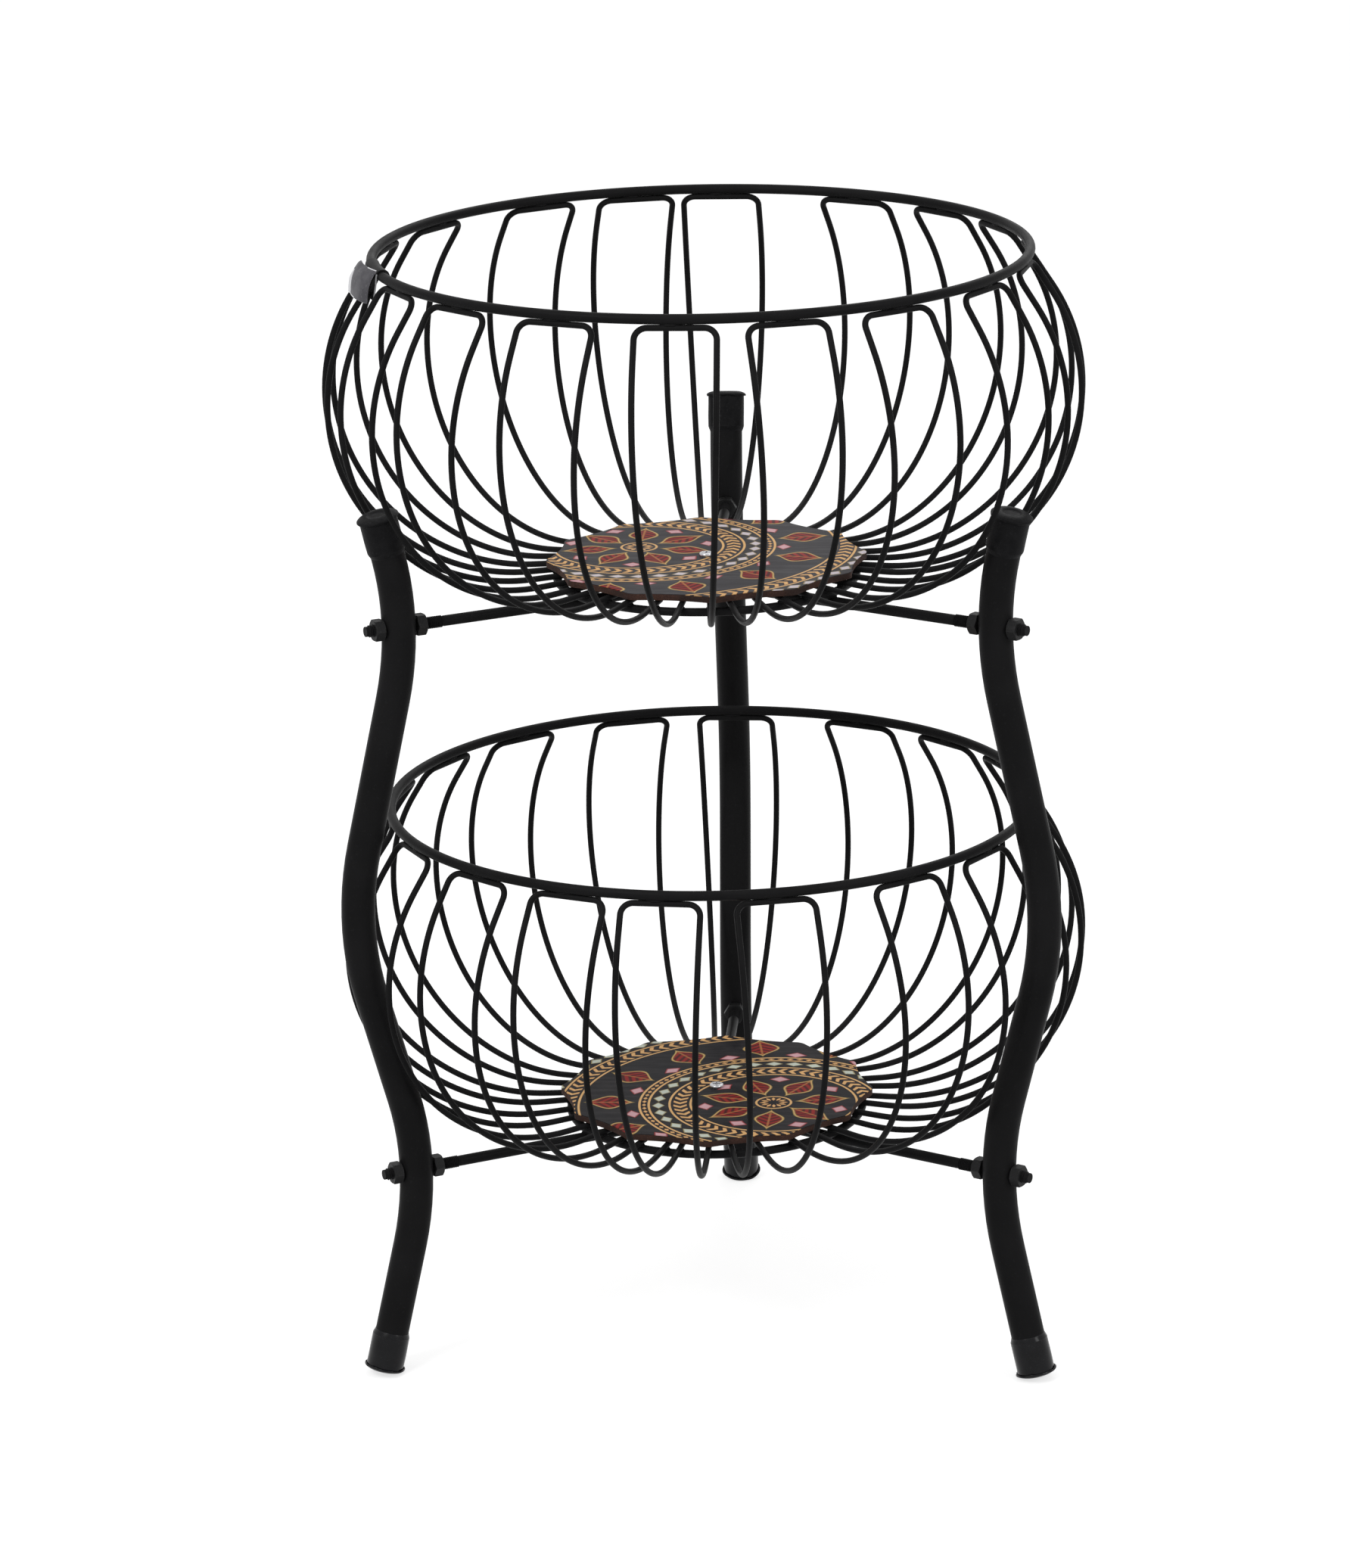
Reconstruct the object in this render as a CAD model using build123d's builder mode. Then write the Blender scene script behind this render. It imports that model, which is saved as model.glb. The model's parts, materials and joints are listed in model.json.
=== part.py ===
from build123d import *
import os
from math import acos, atan2, cos, degrees, radians, sin, sqrt, tan

# Free-standing stand that carries two bowl-shaped wire baskets, one above the other.
# Millimetres, Z up. The floor is at zero and the Z axis is the middle of the stand.
# One leg stands at the back on +Y, the other two at 120 degrees to it.

# Clearances
joint_gap = 0.1  # left for paint and weld between two pieces that touch
nut_seat_gap = 0.3  # nut face to the middle of the tube's curved side
rod_hole_gap = 0.2  # radial, rod thread in the leg
ferrule_gap = 0.05  # radial, ferrule on its tube
cut_overrun = 5

# Tiers
lower_rod_height = 138
tier_pitch = 368.5
leg_count = 3
back_leg_azimuth = 90

# Basket wire, all diameters
ring_wire = 6.5
hoop_wire = 4
base_ring_wire = 5.5

# Basket shape, on wire centrelines
ring_radius = 212
base_ring_radius = 98
bowl_height = 210  # floor wires at the base ring up to the top ring
belly_bulge = 32  # how far the belly stands out from the ring
hoop_count = 18
hoop_half_width = 25.3  # at the top bar
hoop_belly_half_width = 25.2
hoop_foot_half_width = 9.2  # at the base ring
hoop_corner_radius = 8
hoop_neck_length = 22  # straight run from the top bar to the bowl's bend
hoop_foot_overhang = 8  # inward past the base ring
floor_rise = 4  # degrees, floor wires climb towards the base ring

# Hoops stand by hand, a few degrees off even spacing, in order from azimuth 10
upper_hoop_turns = (-2, -2.5, -5, -5.5, 0, -4.5, -6, -1, -1, -1, 0, -1.5, -1, -0.5, -2, -2, 0, 0)
lower_hoop_turns = (-2, -3, -5, -5, -1, -1.5, 1, 1, 0, -1, -1, -0.5, -1.5, -5, -5.5, -1, -1, -1)

# Tie rods and their nuts
rod_diameter = 7
thread_diameter = 8
thread_pitch = 1.25
thread_depth = 0.7
thread_inner_length = 30  # inward from the leg's middle
thread_chamfer = 1
rod_stub = 5.5  # beyond the outer nut
nut_flats = 13
nut_thickness = 6.5
nut_bore_gap = 0.05  # radial, over the thread
rod_start_radius = 9

# Hub under each board
hub_plate_diameter = 40
hub_plate_thickness = 3
screw_diameter = 5
screw_head_diameter = 9.5
screw_head_height = 2.6
screw_hole_gap = 0.25  # radial
screw_recess_width = 1.2
screw_recess_length = 5.2
screw_recess_depth = 1.3
hub_nut_flats = 8
hub_nut_thickness = 4

# Boards
board_tip_radius = 106
board_notch_radius = 99
board_lobes = 12
board_lobe_fillet = 9
board_thickness = 4
print_thickness = 0.4
upper_board_turn = 6
lower_board_turn = 0

# Leg tube, centreline places as radius from the stand's axis
tube_diameter = 22
tube_wall = 1.2
foot_reach = 249.5  # where the leg's line meets the floor
waist_reach = 214
knee_reach = 262
top_reach = 232.5
top_rise = 76  # ferrule top above the upper rod
leg_bend_radius = 200
knee_height_share = 0.475

# Ferrules
ferrule_wall = 1.25
ferrule_sleeve = 24.5
ferrule_end = 3
ferrule_lip = 1.6  # flange beyond the sleeve
ferrule_lip_height = 2.2
ferrule_shoulder = 1
ferrule_round = 0.7
foot_flat = 1.7  # rubber lost to the floor under the tilted foot

# Ring tag
tag_azimuth = 195
tag_width = 40
tag_thickness = 1
tag_gap = 0.3
tag_lip_drop = 7  # inner lip below the ring's middle
tag_hang = 15  # outer face below the ring's middle
tag_lean = 8  # how far the outer face's lower edge stands out

upper_rod_height = lower_rod_height + tier_pitch
tube_radius = tube_diameter / 2
ring_wire_radius = ring_wire / 2
hoop_wire_radius = hoop_wire / 2
base_ring_wire_radius = base_ring_wire / 2
rod_radius = rod_diameter / 2
thread_radius = thread_diameter / 2

# Stack above a tier's rod centre
rise_base_ring = rod_radius + joint_gap + base_ring_wire_radius
rise_floor_wire = rise_base_ring + base_ring_wire_radius + joint_gap + hoop_wire_radius
hoop_foot_rise = hoop_foot_overhang * tan(radians(floor_rise))
rise_board = rise_floor_wire + hoop_foot_rise + hoop_wire_radius + joint_gap
rise_print = rise_board + board_thickness
rise_screw_head = rise_print + print_thickness
rise_ring = rise_floor_wire + bowl_height
rise_top_bar = rise_ring - ring_wire_radius - joint_gap - hoop_wire_radius
rise_hub_plate = rod_radius + joint_gap

tiers = {"lower": lower_rod_height, "upper": upper_rod_height}
hoop_turns = {"lower": lower_hoop_turns, "upper": upper_hoop_turns}
board_turns = {"lower": lower_board_turn, "upper": upper_board_turn}
leg_azimuths = {
    name: back_leg_azimuth + index * 360 / leg_count
    for index, name in enumerate(("back", "left", "right"))
}


def save(builder, name):
    """Labels a finished piece and writes its file."""
    builder.part.label = name
    export_step(builder.part, f"parts/{name}.step")


def bowl_bend_radius():
    """Radius of the bend that joins the floor wires to the neck, in the hoop's plane.

    The bend touches the floor line, reaches the belly's radius and touches a straight
    neck that ends at the top bar. In a bowl that is deep for its width the bend is as
    large as the run from the base ring to the belly, and the neck is longer.
    """
    slope = tan(radians(floor_rise))
    climb = slope + 1 / cos(radians(floor_rise))
    floor_run = ring_radius + belly_bulge - base_ring_radius
    height = rise_top_bar - rise_floor_wire + slope * floor_run
    middle = -2 * (belly_bulge + height * climb)
    rest = belly_bulge**2 + height**2 - hoop_neck_length**2
    wanted = (-middle - sqrt(middle**2 - 4 * climb**2 * rest)) / (2 * climb**2)
    return min(wanted, floor_run)


def hoop_side(reach, rise):
    """Half the hoop's width where its wire is at this reach and rise.

    Both side wires lie in planes that are set by the widths at the base ring, at the
    belly and at the top bar.
    """
    bend = bowl_bend_radius()
    belly = ring_radius + belly_bulge
    belly_rise = rise_floor_wire + bend
    foot_to_top = (ring_radius - base_ring_radius, rise_top_bar - rise_floor_wire)
    foot_to_belly = (belly - base_ring_radius, belly_rise - rise_floor_wire)
    area = foot_to_top[0] * foot_to_belly[1] - foot_to_top[1] * foot_to_belly[0]
    out, up = reach - base_ring_radius, rise - rise_floor_wire
    top_share = (out * foot_to_belly[1] - up * foot_to_belly[0]) / area
    belly_share = (foot_to_top[0] * up - foot_to_top[1] * out) / area
    return (
        hoop_foot_half_width
        + top_share * (hoop_half_width - hoop_foot_half_width)
        + belly_share * (hoop_belly_half_width - hoop_foot_half_width)
    )


def hoop_points():
    """Corners of one side wire, from its foot out to the belly and up to the top bar."""
    slope = tan(radians(floor_rise))
    bend = bowl_bend_radius()
    foot = base_ring_radius - hoop_foot_overhang
    # Middle of the bend, then the point where the floor line and the neck line cross
    middle = ring_radius + belly_bulge - bend
    middle_rise = (
        rise_floor_wire
        - slope * (middle - base_ring_radius)
        + bend / cos(radians(floor_rise))
    )
    toward = degrees(atan2(rise_top_bar - middle_rise, ring_radius - middle))
    to_top_bar = sqrt((rise_top_bar - middle_rise) ** 2 + (ring_radius - middle) ** 2)
    neck = toward - degrees(acos(bend / to_top_bar))
    floor = -90 - floor_rise
    half_turn = (neck - floor) / 2
    reach = bend / cos(radians(half_turn))
    corner = middle + reach * cos(radians(floor + half_turn))
    corner_rise = middle_rise + reach * sin(radians(floor + half_turn))
    return (
        (foot, rise_floor_wire + hoop_foot_rise),
        (corner, corner_rise),
        (ring_radius, rise_top_bar),
    )


# One hairpin hoop, drawn across the X axis with the rod's centre at zero height
bend_radius = bowl_bend_radius()
side_points = [(reach, hoop_side(reach, rise), rise) for reach, rise in hoop_points()]
with BuildPart() as hoop:
    with BuildLine():
        hoop_line = FilletPolyline(
            *side_points,
            *[(reach, -side, rise) for reach, side, rise in reversed(side_points)],
            radius=[bend_radius, hoop_corner_radius, hoop_corner_radius, bend_radius],
        )
    with BuildSketch(Plane(origin=hoop_line @ 0, z_dir=hoop_line % 0)):
        Circle(hoop_wire_radius)
    sweep()


def leg_points():
    """Leg centreline corners as radius and height, from the floor to the tube's top."""
    knee_height = lower_rod_height + knee_height_share * tier_pitch
    return (
        (foot_reach, 0),
        (waist_reach, lower_rod_height),
        (knee_reach, knee_height),
        (waist_reach, upper_rod_height),
        (top_reach, upper_rod_height + top_rise),
    )


def shifted(start, end, length):
    """The point this far from start towards end."""
    run = sqrt((end[0] - start[0]) ** 2 + (end[1] - start[1]) ** 2)
    share = length / run
    return tuple(a + (b - a) * share for a, b in zip(start, end))


# Legs with both rod holes, drawn in the XZ plane
ferrule_radius = tube_radius + ferrule_gap + ferrule_wall
flange_radius = ferrule_radius + ferrule_lip
corners = leg_points()
foot_tilt = degrees(atan2(corners[0][0] - corners[1][0], corners[1][1] - corners[0][1]))
foot_lift = (flange_radius * sin(radians(foot_tilt)) - foot_flat) / cos(radians(foot_tilt))
tube_foot = shifted(corners[0], corners[1], foot_lift + ferrule_end)
tube_top = shifted(corners[4], corners[3], ferrule_end)
leg_path = (tube_foot, *corners[1:4], tube_top)


def leg_bend_radii():
    """Radius at each bend of a leg, less where a run is too short for the full bend.

    The tube stays straight inside its ferrules, and two bends share the run between them.
    """
    runs = [Vector(*end) - Vector(*start) for start, end in zip(leg_path, leg_path[1:])]
    free = [run.length / 2 for run in runs]
    free[0] = runs[0].length - ferrule_sleeve
    free[-1] = runs[-1].length - ferrule_sleeve
    radii = []
    for before, after, room_before, room_after in zip(runs, runs[1:], free, free[1:]):
        half_turn = radians(before.get_angle(after) / 2)
        radii.append(min(leg_bend_radius, min(room_before, room_after) / tan(half_turn)))
    return radii


with BuildPart() as leg_blank:
    with BuildLine(Plane.XZ):
        leg_line = FilletPolyline(*leg_path, radius=leg_bend_radii())
    with BuildSketch(Plane(origin=leg_line @ 0, z_dir=leg_line % 0)):
        Circle(tube_radius)
        Circle(tube_radius - tube_wall, mode=Mode.SUBTRACT)
    sweep()
    for rod_height in tiers.values():
        with BuildSketch(Plane.YZ.offset(waist_reach - tube_diameter)):
            with Locations((0, rod_height)):
                Circle(thread_radius + rod_hole_gap)
        extrude(amount=knee_reach - waist_reach + 2 * tube_diameter, mode=Mode.SUBTRACT)


def leg_radius_at(height):
    """Radius of the leg's centreline where a level line crosses it near a waist."""
    level = Edge.make_line((0, 0, height), (2 * foot_reach, 0, height))
    crossing = [edge.distance_to_with_closest_points(level) for edge in leg_line.edges()]
    return min(crossing, key=lambda found: found[0])[1].X


# Ferrule on the end of a tube, its closed end towards -Y of the sketch plane
with BuildSketch() as ferrule_section:
    with BuildLine():
        Polyline(
            (0, -ferrule_end),
            (flange_radius, -ferrule_end),
            (flange_radius, ferrule_lip_height - ferrule_end),
            (ferrule_radius, ferrule_lip_height - ferrule_end + ferrule_lip / 2),
            (ferrule_radius, ferrule_sleeve - ferrule_shoulder),
            (ferrule_radius - ferrule_wall / 2, ferrule_sleeve),
            (tube_radius + ferrule_gap, ferrule_sleeve),
            (tube_radius + ferrule_gap, 0),
            (0, 0),
            close=True,
        )
    make_face()
    fillet(ferrule_section.vertices().group_by(Axis.X)[-1], ferrule_round)


def ferrule(end, inward):
    """One ferrule on the leg in the XZ plane, pushed on from end towards inward."""
    axis = Vector(inward[0] - end[0], 0, inward[1] - end[1]).normalized()
    plane = Plane(origin=(end[0], 0, end[1]), x_dir=(0, 1, 0), z_dir=axis.cross(Vector(0, -1, 0)))
    with BuildPart() as piece:
        with BuildSketch(plane):
            add(ferrule_section.sketch)
        revolve(axis=Axis(plane.origin, axis), revolution_arc=360)
        split(bisect_by=Plane.XY, keep=Keep.TOP)
    return piece.part


foot_ferrule = ferrule(tube_foot, corners[1])
top_ferrule = ferrule(tube_top, corners[3])


def turned(pieces, azimuths, height=0):
    """Copies of the pieces at each azimuth about the stand's axis, raised, as a builder."""
    with BuildPart() as copies:
        for azimuth in azimuths:
            with Locations(Location((0, 0, height), (0, 0, azimuth))):
                add(pieces)
    return copies


os.makedirs("parts", exist_ok=True)
for leg_name, leg_azimuth in leg_azimuths.items():
    save(turned(leg_blank.part, [leg_azimuth]), f"leg_{leg_name}")
save(turned(foot_ferrule, leg_azimuths.values()), "foot_ferrules")
save(turned(top_ferrule, leg_azimuths.values()), "top_ferrules")


def hex_nut(start, flats, thickness, bore_radius):
    """A hex nut whose axis is +X, with its corners chamfered on both faces."""
    corner_radius = flats / sqrt(3)
    with BuildPart() as nut:
        with BuildSketch(Plane.YZ.offset(start)):
            RegularPolygon(radius=flats / 2, side_count=6, major_radius=False)
            Circle(bore_radius, mode=Mode.SUBTRACT)
        extrude(amount=thickness)
        with BuildSketch(Plane.XZ):
            with BuildLine():
                edge_drop = (corner_radius - flats / 2) / 2
                Polyline(
                    (start, 0),
                    (start, flats / 2),
                    (start + edge_drop, corner_radius),
                    (start + thickness - edge_drop, corner_radius),
                    (start + thickness, flats / 2),
                    (start + thickness, 0),
                    close=True,
                )
            make_face()
        revolve(axis=Axis.X, revolution_arc=360, mode=Mode.INTERSECT)
    return nut.part


def tie_rod(leg_middle):
    """A tie rod along +X from the hub to its stub outside the leg."""
    end = leg_middle + tube_radius + nut_seat_gap + nut_thickness + rod_stub
    thread_start = leg_middle - thread_inner_length
    turns = int((end - thread_start - thread_chamfer) // thread_pitch)
    root = thread_radius - thread_depth
    with BuildPart() as rod:
        with BuildSketch(Plane.XZ):
            with BuildLine():
                ridges = []
                for turn in range(turns):
                    at = thread_start + turn * thread_pitch
                    ridges += [(at, root), (at + thread_pitch / 2, thread_radius)]
                last = thread_start + turns * thread_pitch
                Polyline(
                    (rod_start_radius, 0),
                    (rod_start_radius, rod_radius),
                    (thread_start - thread_pitch, rod_radius),
                    *ridges,
                    (last, root),
                    (end, root),
                    (end, 0),
                    close=True,
                )
            make_face()
        revolve(axis=Axis.X, revolution_arc=360)
    return rod.part


with BuildSketch() as board_outline:
    with BuildLine():
        lobe_angle = 360 / board_lobes
        for lobe in range(board_lobes):
            ends = [
                (board_tip_radius * cos(radians(a)), board_tip_radius * sin(radians(a)))
                for a in (lobe * lobe_angle, (lobe + 1) * lobe_angle)
            ]
            notch_angle = radians((lobe + 0.5) * lobe_angle)
            notch = (board_notch_radius * cos(notch_angle), board_notch_radius * sin(notch_angle))
            ThreePointArc(ends[0], notch, ends[1])
    make_face()
    fillet(board_outline.vertices(), board_lobe_fillet)


def disc_layer(height, thickness, turn):
    """A scalloped sheet with the screw's hole."""
    with BuildPart() as sheet:
        with BuildSketch(Plane.XY.offset(height)):
            add(board_outline.sketch, rotation=turn)
            Circle(screw_diameter / 2 + screw_hole_gap, mode=Mode.SUBTRACT)
        extrude(amount=thickness)
    return sheet


for tier, rod_height in tiers.items():
    leg_middle = leg_radius_at(rod_height)

    with BuildPart(Plane.XY.offset(rod_height + rise_ring)) as top_ring:
        Torus(ring_radius, ring_wire_radius)
    save(top_ring, f"{tier}_top_ring")

    with BuildPart(Plane.XY.offset(rod_height + rise_base_ring)) as base_ring:
        Torus(base_ring_radius, base_ring_wire_radius)
    save(base_ring, f"{tier}_base_ring")

    step_angle = 360 / hoop_count
    for index in range(hoop_count):
        turn = hoop_turns[tier][index % len(hoop_turns[tier])]
        hoop_azimuth = (index + 0.5) * step_angle + turn
        save(turned(hoop.part, [hoop_azimuth], rod_height), f"{tier}_hoop_{index + 1}")

    save(turned(tie_rod(leg_middle), leg_azimuths.values(), rod_height), f"{tier}_tie_rods")

    nut_starts = (
        leg_middle - tube_radius - nut_seat_gap - nut_thickness,
        leg_middle + tube_radius + nut_seat_gap,
    )
    nut_pair = [
        hex_nut(start, nut_flats, nut_thickness, thread_radius + nut_bore_gap)
        for start in nut_starts
    ]
    save(turned(nut_pair, leg_azimuths.values(), rod_height), f"{tier}_rod_nuts")

    with BuildPart() as hub_plate:
        with BuildSketch(Plane.XY.offset(rod_height + rise_hub_plate)):
            Circle(hub_plate_diameter / 2)
            Circle(screw_diameter / 2 + screw_hole_gap, mode=Mode.SUBTRACT)
        extrude(amount=hub_plate_thickness)
    save(hub_plate, f"{tier}_hub_plate")

    with BuildPart() as hub_nut:
        with BuildSketch(Plane.XY.offset(rod_height + rise_hub_plate)):
            RegularPolygon(radius=hub_nut_flats / 2, side_count=6, major_radius=False)
            Circle(screw_diameter / 2 + nut_bore_gap, mode=Mode.SUBTRACT)
        extrude(amount=-hub_nut_thickness)
    save(hub_nut, f"{tier}_hub_nut")

    save(disc_layer(rod_height + rise_board, board_thickness, board_turns[tier]), f"{tier}_board")
    save(
        disc_layer(rod_height + rise_print, print_thickness, board_turns[tier]),
        f"{tier}_board_print",
    )

    head_base = rod_height + rise_screw_head
    screw_end = rod_height + rise_hub_plate - hub_nut_thickness - screw_diameter / 2
    with BuildPart() as board_screw:
        with BuildSketch(Plane.XY.offset(head_base)):
            Circle(screw_head_diameter / 2)
        extrude(amount=screw_head_height)
        fillet(board_screw.edges().sort_by(Axis.Z)[-1], screw_head_height / 2)
        with BuildSketch(Plane.XY.offset(head_base + screw_head_height - screw_recess_depth)):
            Rectangle(screw_recess_length, screw_recess_width)
            Rectangle(screw_recess_width, screw_recess_length)
        extrude(amount=screw_recess_depth + cut_overrun, mode=Mode.SUBTRACT)
        with BuildSketch(Plane.XY.offset(head_base)):
            Circle(screw_diameter / 2)
        extrude(amount=screw_end - head_base)
    save(board_screw, f"{tier}_board_screw")

# Plate folded over the upper ring, its face outward and a short lip inside
tag_sag = ring_radius - sqrt(ring_radius**2 - (tag_width / 2) ** 2)
tag_clear = ring_wire_radius + tag_gap + tag_thickness / 2
tag_out = ring_radius + tag_clear
tag_in = ring_radius - tag_clear - tag_sag
with BuildPart() as ring_tag:
    with BuildSketch(Plane.XZ.offset(-tag_width / 2)):
        with BuildLine():
            FilletPolyline(
                (tag_out + tag_lean, -tag_hang),
                (tag_out, tag_clear),
                (tag_in, tag_clear),
                (tag_in, -tag_lip_drop),
                radius=ring_wire_radius,
            )
            offset(amount=tag_thickness / 2, side=Side.BOTH)
        make_face()
    extrude(amount=tag_width)
save(turned(ring_tag.part, [tag_azimuth], upper_rod_height + rise_ring), "ring_tag")
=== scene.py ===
"""Finishes, moulded rubber, welds, tag, light and camera of a tiered wire basket.

Metres, Z up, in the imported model's own frame: the floor is at zero and the Z axis is the
middle of the stand. Two bowls of hairpin wire hoops hang on tie rods between three bent
tube legs.
"""
import json
import logging
import math
from collections.abc import Callable, Iterable
from dataclasses import dataclass
from enum import Enum

import bmesh
import bpy
from mathutils import Matrix, Vector


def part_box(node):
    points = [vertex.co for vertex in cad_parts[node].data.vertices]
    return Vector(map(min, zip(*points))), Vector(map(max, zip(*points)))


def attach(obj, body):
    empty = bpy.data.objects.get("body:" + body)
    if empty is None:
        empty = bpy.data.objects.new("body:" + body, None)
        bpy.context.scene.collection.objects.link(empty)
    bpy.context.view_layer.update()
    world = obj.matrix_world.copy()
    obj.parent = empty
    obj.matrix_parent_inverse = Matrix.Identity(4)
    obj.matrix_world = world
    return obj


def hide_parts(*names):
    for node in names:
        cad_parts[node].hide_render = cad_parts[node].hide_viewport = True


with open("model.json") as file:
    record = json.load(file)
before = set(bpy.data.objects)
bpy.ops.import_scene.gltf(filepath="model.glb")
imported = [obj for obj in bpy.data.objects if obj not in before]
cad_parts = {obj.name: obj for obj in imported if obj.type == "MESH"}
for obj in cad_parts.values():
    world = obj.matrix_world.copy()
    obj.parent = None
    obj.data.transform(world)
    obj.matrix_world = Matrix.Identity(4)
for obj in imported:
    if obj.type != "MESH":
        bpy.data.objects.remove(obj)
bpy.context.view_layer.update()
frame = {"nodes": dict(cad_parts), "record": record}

ROOT = "root"
MM = 0.001
FULL_TURN = 2 * math.pi
UP = Vector((0, 0, 1))
WHITE = (1.0, 1.0, 1.0, 1.0)
MERGE_DISTANCE = 1e-7

# Sockets of a Mix node that mixes colours, where several share a name
MIX_FACTOR, MIX_FIRST, MIX_SECOND, MIX_RESULT = 0, 6, 7, 2

# Values of a noise or a measure between which a mask rises from 0 to 1
CLOUD_SPAN = (0.3, 0.7)
SPECK_SPAN = (0.66, 0.74)
TURNED_EDGE_SPAN = (0.02, 0.16)
WEAR_BREAK_SPAN = (0.38, 0.62)
DUST_SLOPE_SPAN = (0.35, 0.95)
DUST_CLOUD_SPAN = (0.3, 0.75)

# Fineness of specks against the grain, wear left in its gaps, and what dust adds to roughness
SPECK_SCALE_SHARE = 0.6
UNBROKEN_WEAR = 0.25
DUST_ROUGHENING = 0.6

# The sines that make moulded rubber and welds uneven, as the function waves takes them
WORN_WAVES = ((0.5, 2, 1.0), (0.3, 5, -2.0))
FINE_WAVES = ((0.2, 11, 3.0), (0.12, 23, 1.0))
RISE_WAVES = ((0.6, 3, 2.4), (0.4, 7, 1.0))
BEAD_LENGTH_WAVES = ((0.07, 9, 1.0), (0.05, 4, 2.3))
BEAD_ROUND_WAVES = ((0.06, 3, 1.0),)

# Rounding of the sharp edges of solids, by the ending of their names
SOFT_EDGES = {
    "_nuts": 0.00035,
    "_hub_nut": 0.0003,
    "_board": 0.0004,
    "_hub_plate": 0.0004,
    "_board_screw": 0.00015,
}
SHARP_ANGLE = math.radians(28)
CORNER_MERGE = 1e-6

log = logging.getLogger("wire_basket")

Colour = tuple[float, float, float]
Span = tuple[float, float]
Section = list[tuple[float, float]]
Form = tuple[list[Vector], list[tuple[int, ...]]]
Socket = bpy.types.NodeSocket
Input = float | tuple[float, ...] | Socket


class Tier(Enum):
    """The two baskets of the stand."""

    LOWER = "lower"
    UPPER = "upper"


class Leg(Enum):
    """The three legs, each with its direction from the stand's axis in degrees."""

    BACK = 90
    LEFT = 210
    RIGHT = 330

    @property
    def label(self) -> str:
        """The leg's name as the nodes spell it."""
        return self.name.lower()


class FerruleEnd(Enum):
    """Which end of a leg a ferrule closes."""

    FOOT = "foot"
    TOP = "top"


class Nodes:
    """Adds shader nodes to one tree and links them."""

    def __init__(self, tree: bpy.types.NodeTree) -> None:
        """Keeps the tree.

        Args:
            tree: The material's or group's node tree.
        """
        self.tree = tree

    def put(self, socket: Socket, value: Input) -> None:
        """Links a value into a socket, or sets the socket's own value.

        Args:
            socket: The input.
            value: Another node's output, or a number or colour.
        """
        if isinstance(value, Socket):
            self.tree.links.new(value, socket)
            return
        if isinstance(value, tuple) and socket.type == "RGBA" and len(value) == 3:
            value = (*value, 1.0)
        socket.default_value = value

    def node(self, kind: str, inputs: dict | None = None, **settings: object) -> bpy.types.Node:
        """Adds one node.

        Args:
            kind: Its type, as bpy names it.
            inputs: Values by socket name or number.
            **settings: The node's own properties.

        Returns:
            The node.
        """
        made = self.tree.nodes.new(kind)
        for name, value in settings.items():
            setattr(made, name, value)
        for key, value in (inputs or {}).items():
            self.put(made.inputs[key], value)
        return made

    def math(self, operation: str, *values: Input, clamp: bool = False) -> Socket:
        """Adds a Math node.

        Args:
            operation: The operation's name.
            *values: Its one to three values.
            clamp: Whether the result is kept between 0 and 1.

        Returns:
            The result.
        """
        made = self.node(
            "ShaderNodeMath", dict(enumerate(values)), operation=operation, use_clamp=clamp
        )
        return made.outputs[0]

    def mix(self, factor: Input, first: Input, second: Input) -> Socket:
        """Mixes two colours.

        Args:
            factor: 0 gives the first, 1 the second.
            first: A colour.
            second: A colour.

        Returns:
            The mixed colour.
        """
        made = self.node(
            "ShaderNodeMix",
            {MIX_FACTOR: factor, MIX_FIRST: first, MIX_SECOND: second},
            data_type="RGBA",
        )
        return made.outputs[MIX_RESULT]

    def fade(
        self, value: Input, start: float, end: float, low: float = 0.0, high: float = 1.0
    ) -> Socket:
        """Turns a value into a smooth mask.

        Args:
            value: What is measured.
            start: Where the mask is low.
            end: Where the mask is high.
            low: The mask at the start.
            high: The mask at the end.

        Returns:
            The mask.
        """
        made = self.node(
            "ShaderNodeMapRange",
            {"Value": value, "From Min": start, "From Max": end, "To Min": low, "To Max": high},
            interpolation_type="SMOOTHSTEP",
        )
        return made.outputs[0]

    def noise(self, place: Input, scale: Input, detail: float = 2.0, rough: float = 0.5) -> Socket:
        """Adds a noise texture.

        Args:
            place: The coordinates.
            scale: Features in a metre.
            detail: Octaves.
            rough: How strong the finer octaves are.

        Returns:
            The noise, from 0 to 1.
        """
        made = self.node(
            "ShaderNodeTexNoise",
            {"Vector": place, "Scale": scale, "Detail": detail, "Roughness": rough},
        )
        return made.outputs[0]

    def object_place(self) -> Socket:
        """Coordinates in the stand's own frame, in metres."""
        return self.node("ShaderNodeTexCoord").outputs["Object"]

    def group(self, tree: bpy.types.NodeTree, **values: Input) -> bpy.types.Node:
        """Places a node group.

        Args:
            tree: The group.
            **values: Its inputs, with underscores for spaces.

        Returns:
            The group's node.
        """
        made = self.node("ShaderNodeGroup", node_tree=tree)
        for name, value in values.items():
            self.put(made.inputs[name.replace("_", " ")], value)
        return made


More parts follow.
